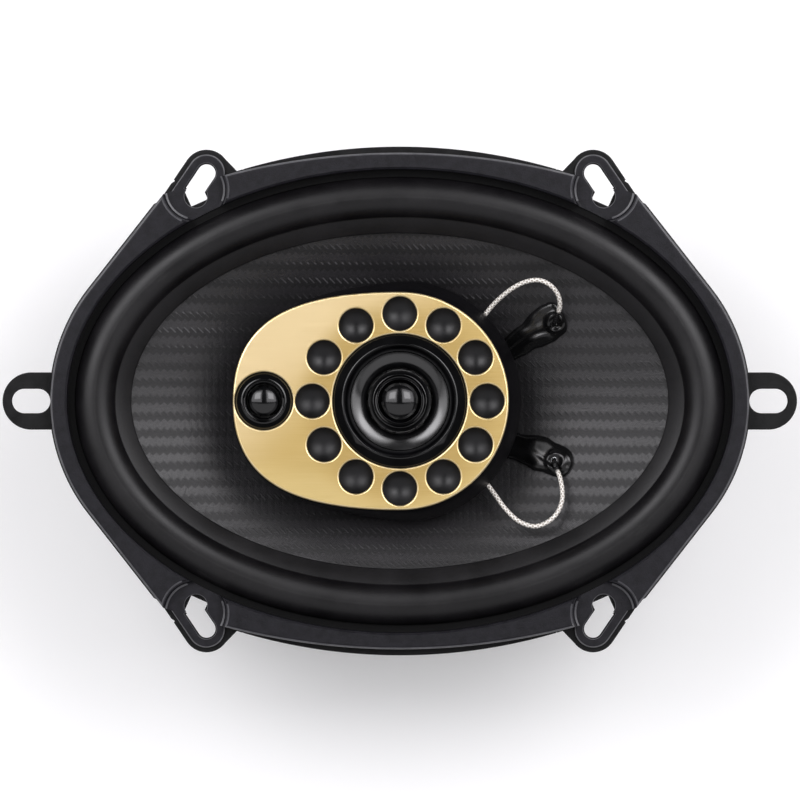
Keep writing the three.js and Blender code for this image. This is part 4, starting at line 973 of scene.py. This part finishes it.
def buildDome(name, body, size, centre):
    # cap on a thin skirt: r = radius sin(t) / sin(tilt),
    # z = rim + height (cos(t) - cos(tilt)) / (1 - cos(tilt))
    radius, bottom, rim, height = driverShape[size]
    tilt, wall = driverShape["domeTilt"], driverShape["wall"]
    t = np.linspace(tilt, 0, 20)
    rise = height * (np.cos(t) - math.cos(tilt)) / (1 - math.cos(tilt))
    outside = np.stack([radius * np.sin(t) / math.sin(tilt), rim + rise], -1)
    inside = np.stack([(radius - wall) * np.sin(t) / math.sin(tilt), rim - wall + rise], -1)[::-1]
    cap = np.concatenate([inside, [(radius - wall, bottom), (radius, bottom)], outside])
    placed(revolve(name, cap, centre=centre, closed=False), body, "domeGloss")


def buildDrivers():
    top, side = stack["podTop"], (podShape["sideX"], 0)
    seat = top - 2.5
    inner, outer = driverShape["midWidth"]
    turned("mid_bezel", "frame", "gloss", "gloss_plastic",
           [(inner, seat), (inner + 1, seat), (inner + 1, top + 0.05), (outer, top + 0.05),
            (outer, top + 0.72), (16.5, top + 2.34), (16.15, top + 2.38), (15.95, top + 1.5)],
           [0.1, 0.1, 0.05, 0.1, 0.15, 0.12, 0.12, 0.1], 160, 5)
    turned("mid_surround", "mid_diaphragm", "dimple", "surround_rubber",
           [(14.35, 67.95), (14.9, 67.75), (15.5, 67.1), (15.6, 67.0), (16.8, 67.0), (16.8, 67.45),
            (15.7, 67.45), (15.1, 68.1), (14.35, 68.3)], 0.25, steps=3,
           split=[(0, 0, z) for z in driverShape["midSplit"]])
    # the cone flares: its slope falls evenly from the neck to the rim
    share = np.linspace(0, 1, 30)
    neck, flare = driverShape["midNeck"], driverShape["midFlare"]
    front = np.stack([neck + flare * share, 66.6 + flare * (0.72 * share - 0.335 * share ** 2)], -1)
    cone = np.concatenate([[(9.5, 62.2), (9.8, 62.2), (9.8, 66.2)], (front - (0, 0.35))[1:], front[::-1],
                           [(9.55, 65.7)]])
    placed(revolve("mid_cone", cone, 160), "mid_diaphragm", "softGloss")
    turned("centre_tweeter_body", "frame", "gloss", "gloss_plastic",
           [(5.3, 65.2), (8.8, 65.2), (8.8, 67.9), (7.75, 70.2), (7.5, 70.28), (7.0, 68.9), (6.62, 68.85),
            (6.46, 69.28), (6.3, 69.3), (5.5, 66.6), (5.3, 66.4)],
           [0.1, 0.1, 0.03, 0.1, 0.1, 0.02, 0.02, 0.06, 0.06, 0.02, 0.02])
    buildDome("centre_dome", "centre_diaphragm", "centreDome", (0, 0))
    turned("side_tweeter_bezel", "frame", "gloss", "gloss_plastic",
           [(4.9, 66.6), (6.6, 66.6), (6.6, 70.05), (8.1, 70.05), (8.1, 70.6), (6.4, 71.8), (5.95, 71.86),
            (5.7, 70.6), (5.52, 70.55), (5.42, 70.85), (5.28, 70.85), (5.0, 69.2), (4.9, 68.6)],
           [0.1, 0.1, 0.1, 0.1, 0.12, 0.22, 0.2, 0.02, 0.02, 0.05, 0.05, 0.02, 0.02], centre=side)
    buildDome("side_dome", "side_diaphragm", "sideDome", side)


buildPod()
buildDrivers()
print("pod built")


# leads: braided tinsel along listed routes

leadShape = {"diameter": 1.35, "around": 24, "perMm": 6, "strands": 4, "pitch": 0.9}
leadEnds = {
    "front_lead_upper": {"coated": 5.8, "split": ((0.0216, 0, 0), (0.0444, 0, 0))},
    "front_lead_lower": {"coated": 4.6, "split": ((0.0216, 0, 0), (0.0444, 0, 0))},
    "rear_lead_upper": {"coated": 2.0, "split": ((0, 0, 0.037), (0, 0, 0.0515))},
    "rear_lead_lower": {"coated": 2.0, "split": ((0, 0, 0.037), (0, 0, 0.05))}}
routes = {
    "front_lead_upper": [
        (18.6, 18.3, 59.4), (19.6, 19.3, 58.2), (21.4, 21.2, 57.5), (23.8, 23.9, 57.4), (26.6, 27.4, 58.6),
        (29.6, 30.3, 60.6), (33, 32.8, 62.4), (36.6, 34.4, 63.6), (40.2, 34.7, 64.2), (43.4, 33.2, 64),
        (45.6, 30.4, 62.8), (46.1, 27.2, 61), (45.3, 24.6, 58.9), (44.7, 22.8, 57.2), (44.56, 22.2, 55.85)],
    "front_lead_lower": [
        (18.6, -18.3, 59.4), (19.6, -19.3, 58.2), (21.6, -20.8, 57.5), (24.3, -22.9, 57.4),
        (27.6, -27.2, 58.8), (30.4, -31, 60.6), (34, -34.4, 62.2), (38.2, -36, 63), (41.8, -35.2, 63.2),
        (44.9, -32.7, 62.8), (46.6, -29.2, 61.6), (46.8, -25.6, 60.1), (46.2, -22.2, 58.5),
        (45.3, -19.6, 56.9), (44.6, -17.8, 55.7), (44.54, -17.07, 54.45)],
    "rear_lead_upper": [
        (51.2, 8.2, 36.4), (49.2, 10.8, 36), (48, 15, 36.4), (48.4, 20, 38), (49.4, 24.4, 41),
        (49.6, 27.4, 44.8), (48.2, 27, 48.6), (46, 24.2, 51.2), (45.42, 23.22, 52.4)],
    "rear_lead_lower": [
        (51.2, -8.2, 36.4), (49.2, -10.6, 36), (47.8, -14.4, 36), (48, -19, 37), (49, -22.8, 39.6),
        (49.4, -24.4, 43.2), (48.6, -22.8, 46.8), (46.4, -19.2, 49.6), (45.47, -18, 50.85)],
}


def smoothRoute(points, perMm):
    # even curve through the points, each stretch a cubic of its four nearest, resampled at even steps
    p = np.asarray(points, float)
    p = np.concatenate([[2 * p[0] - p[1]], p, [2 * p[-1] - p[-2]]])
    t = np.linspace(0, 1, 24, endpoint=False)[:, None]
    parts = [0.5 * (2 * b + (c - a) * t + (2 * a - 5 * b + 4 * c - d) * t ** 2
                    + (3 * b - a - 3 * c + d) * t ** 3)
             for a, b, c, d in zip(p[:-3], p[1:-2], p[2:-1], p[3:])]
    fine = np.concatenate(parts + [p[-2:-1]])
    length = np.concatenate([[0], np.cumsum(np.linalg.norm(np.diff(fine, axis=0), axis=1))])
    even = np.linspace(0, length[-1], int(length[-1] * perMm) + 1)
    return np.stack([np.interp(even, length, fine[:, k]) for k in range(3)], -1), length[-1]


def buildLead(name):
    path, length = smoothRoute(routes[name], leadShape["perMm"])
    tangent = np.gradient(path, axis=0)
    tangent /= np.linalg.norm(tangent, axis=1)[:, None]
    # the first side vector is carried along the path so that the strands do not twist
    carried = np.cross(tangent[0], (0.31, -0.42, 0.85))
    sides = []
    for direction in tangent:
        carried = carried - direction * (carried @ direction)
        carried = carried / np.linalg.norm(carried)
        sides.append(carried)
    sides = np.array(sides)
    up = np.cross(tangent, sides)
    around, count, diameter = leadShape["around"], len(path), leadShape["diameter"]
    u = np.arange(around) / around
    v = np.linspace(0, length / diameter, count)[:, None]
    # strands stand proud where one of two slanted sets crosses over the other
    strands, pitch = leadShape["strands"] * u, leadShape["pitch"] * v
    crossing = np.maximum(np.cos(fullTurn * (strands + pitch)), np.cos(fullTurn * (strands - pitch)))
    radius = (diameter / 2 * (0.92 + 0.09 * crossing))[..., None]
    turn = fullTurn * u[None, :, None]
    points = path[:, None] + radius * (np.cos(turn) * sides[:, None] + np.sin(turn) * up[:, None])
    tube = makeMesh(name, points, cappedFaces(count, around), clean=False)
    mesh = tube.data
    i, j = np.meshgrid(np.arange(count - 1), np.arange(around), indexing="ij")
    corner = [(i, j + 1), (i + 1, j + 1), (i + 1, j), (i, j)]
    uv = np.stack([np.stack([b / around, a * (length / diameter) / (count - 1)], -1) for a, b in corner], 2)
    flat = np.concatenate([uv.reshape(-1, 2), np.zeros((2 * around, 2))])
    mesh.uv_layers.new(name="UVMap").data.foreach_set("uv", flat.ravel())
    # the end at the eyelet is soaked in compound: 1 at the end, falling to 0
    left = length - np.linspace(0, length, count)
    soaked = np.clip((leadEnds[name]["coated"] - left) / 0.7 + 0.5, 0, 1)
    mesh.attributes.new("coated", "FLOAT", "POINT").data.foreach_set("value", np.repeat(soaked, around))
    mesh.polygons.foreach_set("use_smooth", np.ones(len(mesh.polygons), bool))
    mesh.update()
    placed(tube, "woofer_cone", "braid", name, leadEnds[name]["split"])
    print(name, "is", round(length, 1), "mm long")


# eyelets in the cone, each under a bead of damping compound that runs from the neck

eyeletShape = {"pit": [(0, -1.2), (2.3, -1.2), (2.3, 1.05), (0.95, 1.15), (0.9, 1.7), (1.15, 3.0), (1.7, 6),
                       (0, 6)],
               "pitRadii": [0, 0.1, 0.15, 0.1, 0.3, 0.5, 0.1, 0],
               "eye": [(0.66, -1.7), (2.15, -1.7), (2.15, -1.1), (1.3, -1.1), (1.3, 0.3), (2.15, 0.3),
                       (2.1, 0.75), (1.2, 0.98), (0.66, 0.85)],
               "eyeRadii": [0.1, 0.2, 0.1, 0.05, 0.05, 0.1, 0.3, 0.3, 0.2]}
beadShape = {"rows": 150, "cols": 64, "startEnd": 17, "startLength": 1.5, "endFrom": 49.2, "lipRadius": 2.3,
             "lipWidth": 0.8}
compoundShape = {
    "upper": {"height": 2.4, "seed": 0.7, "along": [15.5, 34, 45.5, 50.6, 53.5],
              "middle": [0, -1.1, 0.5, 1.05, 1.2], "half": [2.8, 3.1, 5.0, 5.6, 5.3], "blunt": 3.4,
              "folds": 0.8, "crease": 0.36, "lip": 0.7, "eyelet": "tar"},
    "lower": {"height": 2.5, "seed": 2.9, "along": [15.5, 34, 41, 47, 53.2],
              "middle": [0, -0.3, 0.5, 0.4, 0.2], "half": [2.8, 3.5, 4.8, 4.9, 4.2], "blunt": 2.4,
              "folds": 0.35, "crease": 0.12, "lip": 0.5, "eyelet": "solder"}}


def tilted(profile, x, y, segments=40):
    # a turned profile stood on the cone's face at x, y, along the face's normal there
    step = 0.05
    slope = ((coneHeightAt(x + step, y) - coneHeightAt(x - step, y)) / (2 * step),
             (coneHeightAt(x, y + step) - coneHeightAt(x, y - step)) / (2 * step))
    normal = np.array([-slope[0], -slope[1], 1])
    normal /= np.linalg.norm(normal)
    sideA = np.cross(normal, (0, 1, 0))
    sideA /= np.linalg.norm(sideA)
    sideB = np.cross(normal, sideA)
    turn = np.linspace(0, fullTurn, segments, endpoint=False)[:, None, None]
    r, z = np.asarray(profile, float).T[:, None, :, None]
    foot = np.array([x, y, float(coneHeightAt(x, y))])
    return foot + r * (np.cos(turn) * sideA + np.sin(turn) * sideB) + z * normal


def roundEnd(share, power):
    # half width of a bead's end: square root of 1 - share^power
    return np.sqrt(np.clip(1 - np.clip(share, 0, 1) ** power, 0.002, 1))


def buildCompound(side, shape):
    # a bead from the neck past the eyelet: a flattened half round across, round at its end,
    # with long folds, slow lumps, a raised lip round the eyelet and a foot that follows the cone
    x, y = coneShape["eyes"][side]
    along = np.array([x, y]) / math.hypot(x, y)
    rows, cols, seed = beadShape["rows"], beadShape["cols"], shape["seed"]
    s = np.linspace(0, 1, rows)[:, None]
    q = np.linspace(-1, 1, cols)[None, :]
    first, last = shape["along"][0], shape["along"][-1]
    distance = first + (last - first) * (1 - (1 - s) ** 1.5)
    far = beadShape["endFrom"]
    ends = roundEnd((distance - far) / (last - far), shape["blunt"]) \
        * roundEnd((beadShape["startEnd"] - distance) / beadShape["startLength"], 2)
    half = np.interp(distance, shape["along"], shape["half"]) * ends
    middle = np.interp(distance, shape["along"], shape["middle"])
    edge = 1 + 0.05 * np.sin(distance * 0.7 + seed) + 0.02 * np.sin(distance * 1.4 + 3 * q)
    across = half * q * edge + middle
    px, py = along[0] * distance - along[1] * across, along[1] * distance + along[0] * across
    spread = np.clip((distance - 30) / 15, 0, 1)
    folds = shape["folds"] * (0.2 * np.sin(3.6 * q + 0.16 * distance + seed)
                              + 0.09 * np.sin(6.5 * q - 0.24 * distance + 1.7 * seed))
    crease = shape["crease"] * np.exp(-((q + 0.3 - 0.25 * np.sin(0.2 * distance)) / 0.16) ** 2)
    lumps = 1 + (folds - crease) * (0.25 + 0.75 * spread) + 0.1 * np.sin(0.5 * distance + 2 * q)
    ring = np.exp(-((np.hypot(px - x, py - y) - beadShape["lipRadius"]) / beadShape["lipWidth"]) ** 2)
    lip = shape["lip"] * ring * (1 + 0.4 * np.sin(3 * np.arctan2(py - y, px - x) + seed))
    crown = np.clip(1 - np.abs(q) ** 2.6, 0, 1) ** 0.55 * ends
    height = crown * (shape["height"] * (0.6 + 0.3 * spread) * np.clip(lumps, 0.35, 1.7) + lip)
    foot = coneHeightAt(px, py)
    points = [np.stack([px, py, foot + z], -1).reshape(-1, 3) for z in (np.maximum(height, 0) + 0.06, 0.02)]
    count = rows * cols
    topFaces = gridFaces(rows, cols, False, False)
    rim = np.concatenate([np.arange(cols), np.arange(1, rows) * cols + cols - 1,
                          (rows - 1) * cols + np.arange(cols - 2, -1, -1), np.arange(rows - 2, 0, -1) * cols])
    after = np.roll(rim, -1)
    wall = np.stack([rim, after, after + count, rim + count], -1)
    faces = np.concatenate([topFaces, (topFaces + count)[:, ::-1], wall])
    bead = makeMesh(f"lead_cover_{side}", np.concatenate(points), faces, smoothDegrees=60, flatCaps=False)
    # a cavity for the eyelet, narrowing to a crater round the lead
    pit = rounded(eyeletShape["pit"], eyeletShape["pitRadii"], 3, openEnds=True)
    carve(bead, "DIFFERENCE", makeMesh("pit", tilted(pit, x, y), gridFaces(40, len(pit), True, False)),
          smoothDegrees=55, flatCaps=False)
    placed(bead, "woofer_cone", "tar")
    eye = rounded(eyeletShape["eye"], eyeletShape["eyeRadii"], 3)
    eyelet = makeMesh(f"eyelet_{side}", tilted(eye, x, y), gridFaces(40, len(eye)))
    placed(eyelet, "woofer_cone", shape["eyelet"])


for leadName in routes:
    buildLead(leadName)
for side, shape in compoundShape.items():
    buildCompound(side, shape)
print("leads built")


# terminals, made flat with the leg's rear face at zero, then turned onto the sloping leg

terminalShape = {"x": 57.5, "slope": math.atan2(20.0, 47.7), "gap": 0.3, "boardLength": 6.0,
                 "boardWidth": 12.5, "thickness": 1.6, "gauge": 0.8, "hole": 1.35, "rivetX": -2.5,
                 "foot": (-8.4, 4.2), "reach": 9.0,
                 "poles": {"positive": (-8.2, 3.15), "negative": (8.2, 2.4)}}


def ontoLeg(piece):
    # flat x runs out along the leg, flat y runs against Y, flat z points away from the leg
    x, slope = terminalShape["x"], terminalShape["slope"]
    xAxis = np.array([math.cos(slope), 0, math.sin(slope)])
    zAxis = np.array([math.sin(slope), 0, -math.cos(slope)])
    height = basketShape["ledge"] + (x - 39) * math.tan(slope)
    origin = np.array([x, 0, height]) + zAxis * terminalShape["gap"]
    return movePoints(piece, origin + readPoints(piece) @ np.array([xAxis, (0, -1, 0), zAxis]))


def roundedBox(name, x0, x1, y0, y1, z0, z1, radius, edge):
    outline = rounded([(x0, y0), (x1, y0), (x1, y1), (x0, y1)], radius, 5)
    return prism(name, outline, bevelled(z0, z1, edge, 2))


def buildTerminals():
    shape = terminalShape
    long, wide, thick, gauge = [shape[key] for key in ("boardLength", "boardWidth", "thickness", "gauge")]
    hole, rivetX, reach = shape["hole"], shape["rivetX"], shape["reach"]
    board = roundedBox("terminal_board", -long, long, -wide, wide, 0, thick, 1.6, 0.15)
    carve(board, "DIFFERENCE", *[rod(hole, -1, 4, 24, (rivetX, y)) for y, half in shape["poles"].values()])
    placed(ontoLeg(board), "frame", "board")
    start, end = shape["foot"]
    for pole, (y, half) in shape["poles"].items():
        seat = thick + 0.05
        blade = roundedBox(f"terminal_{pole}", start, end, y - half, y + half, seat, seat + gauge, 0.7, 0.12)
        outline = rounded([(-half, 0), (half, 0), (half, 7.6), (half - 1, reach), (1 - half, reach),
                           (-half, 7.6)], [0, 0, 0.3, 0.5, 0.5, 0.3], 3)
        tab = prism("tab", outline, bevelled(0, gauge, 0.12, 2))
        carve(tab, "DIFFERENCE", rod(0.85, -1, 2, 24, (0, 5.6)))
        # the tab is stood up at the foot's outer end
        movePoints(tab, readPoints(tab)[:, [2, 0, 1]] + (end - gauge, y, seat))
        carve(blade, "UNION", tab)
        carve(blade, "DIFFERENCE", rod(hole, 0, 4, 24, (rivetX, y)))
        placed(ontoLeg(blade), "frame", "zinc")
        seat = thick + gauge + 0.1
        head = rounded([(0, 0.1), (1.2, 0.1), (1.2, seat), (2.1, seat), (1.9, seat + 0.6), (0.8, seat + 0.85),
                        (0, seat + 0.7)], [0, 0.1, 0.05, 0.1, 0.3, 0.3, 0], 3, openEnds=True)
        rivet = revolve(f"terminal_rivet_{pole}", head, 36, centre=(rivetX, y), closed=False)
        placed(ontoLeg(rivet), "frame", "zinc")


buildTerminals()
print("terminals built")

# pieces held inside the pod keep their own shape and get a finish
hidden = {"blackZinc": ["mid_yoke", "mid_pole_plate", "centre_tweeter_magnet", "side_tweeter_yoke",
                        "side_tweeter_magnet"],
          "ferrite": ["mid_magnet"], "copper": ["mid_winding"],
          "sleeve": ["capacitor_upper", "capacitor_lower"]}
for finish, nodes in hidden.items():
    for node in nodes:
        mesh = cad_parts[node].data
        mesh.materials.clear()
        mesh.materials.append(finishes[finish])


# studio: pale floor, two tall softboxes with a slit between them, a low front panel and a soft fill

studio = {"floor": 0.9, "glow": 0.14, "floorHalf": 3000, "floorZ": -0.2, "height": 1.15, "world": 0.06,
          "tint": (0.985, 0.972, 1.0)}
# each panel: its sides in x and y, its radiance, and how far it hangs below the others
panels = {"leftPanel": (-1.75, -0.24, -0.1, 1.25, 2.139, 0), "rightPanel": (0.2, 1.75, -0.1, 1.3, 2.3, 0),
          "lowPanel": (-1.8, 1.8, -1.7, -0.24, 0.7, 0), "leftCentre": (-1.05, -0.35, 0.2, 0.9, 4.0, 0.03),
          "rightCentre": (0.35, 1.05, 0.2, 0.9, 4.0, 0.03)}
floorMaterial = newMaterial("paleFloor", (studio["floor"],) * 3, Roughness=0.9, Specular_IOR_Level=0.1,
                            Emission_Color=(1, 1, 1, 1), Emission_Strength=studio["glow"])
square = np.array([(-1, -1), (1, -1), (1, 1), (-1, 1)]) * studio["floorHalf"]
floor = makeMesh("floor", levelAt(square, studio["floorZ"]), [[0, 1, 2, 3]], clean=False)
floor.data.materials.append(floorMaterial)
for name, (x0, x1, y0, y1, radiance, drop) in panels.items():
    # a level panel facing down; its power is radiance times pi times its area
    light = bpy.data.lights.new(name, "AREA")
    light.shape = "RECTANGLE"
    light.color = studio["tint"]
    light.size, light.size_y = x1 - x0, y1 - y0
    light.energy = radiance * math.pi * light.size * light.size_y
    lamp = bpy.data.objects.new(name, light)
    lamp.location = ((x0 + x1) / 2, (y0 + y1) / 2, studio["height"] - drop)
    scene.collection.objects.link(lamp)
world = bpy.data.worlds.new("studioWorld")
world.use_nodes = True
world.node_tree.nodes["Background"].inputs[0].default_value = (1, 1, 1, 1)
world.node_tree.nodes["Background"].inputs[1].default_value = studio["world"]
scene.world = world
scene.view_settings.view_transform = "Standard"
print("studio set")
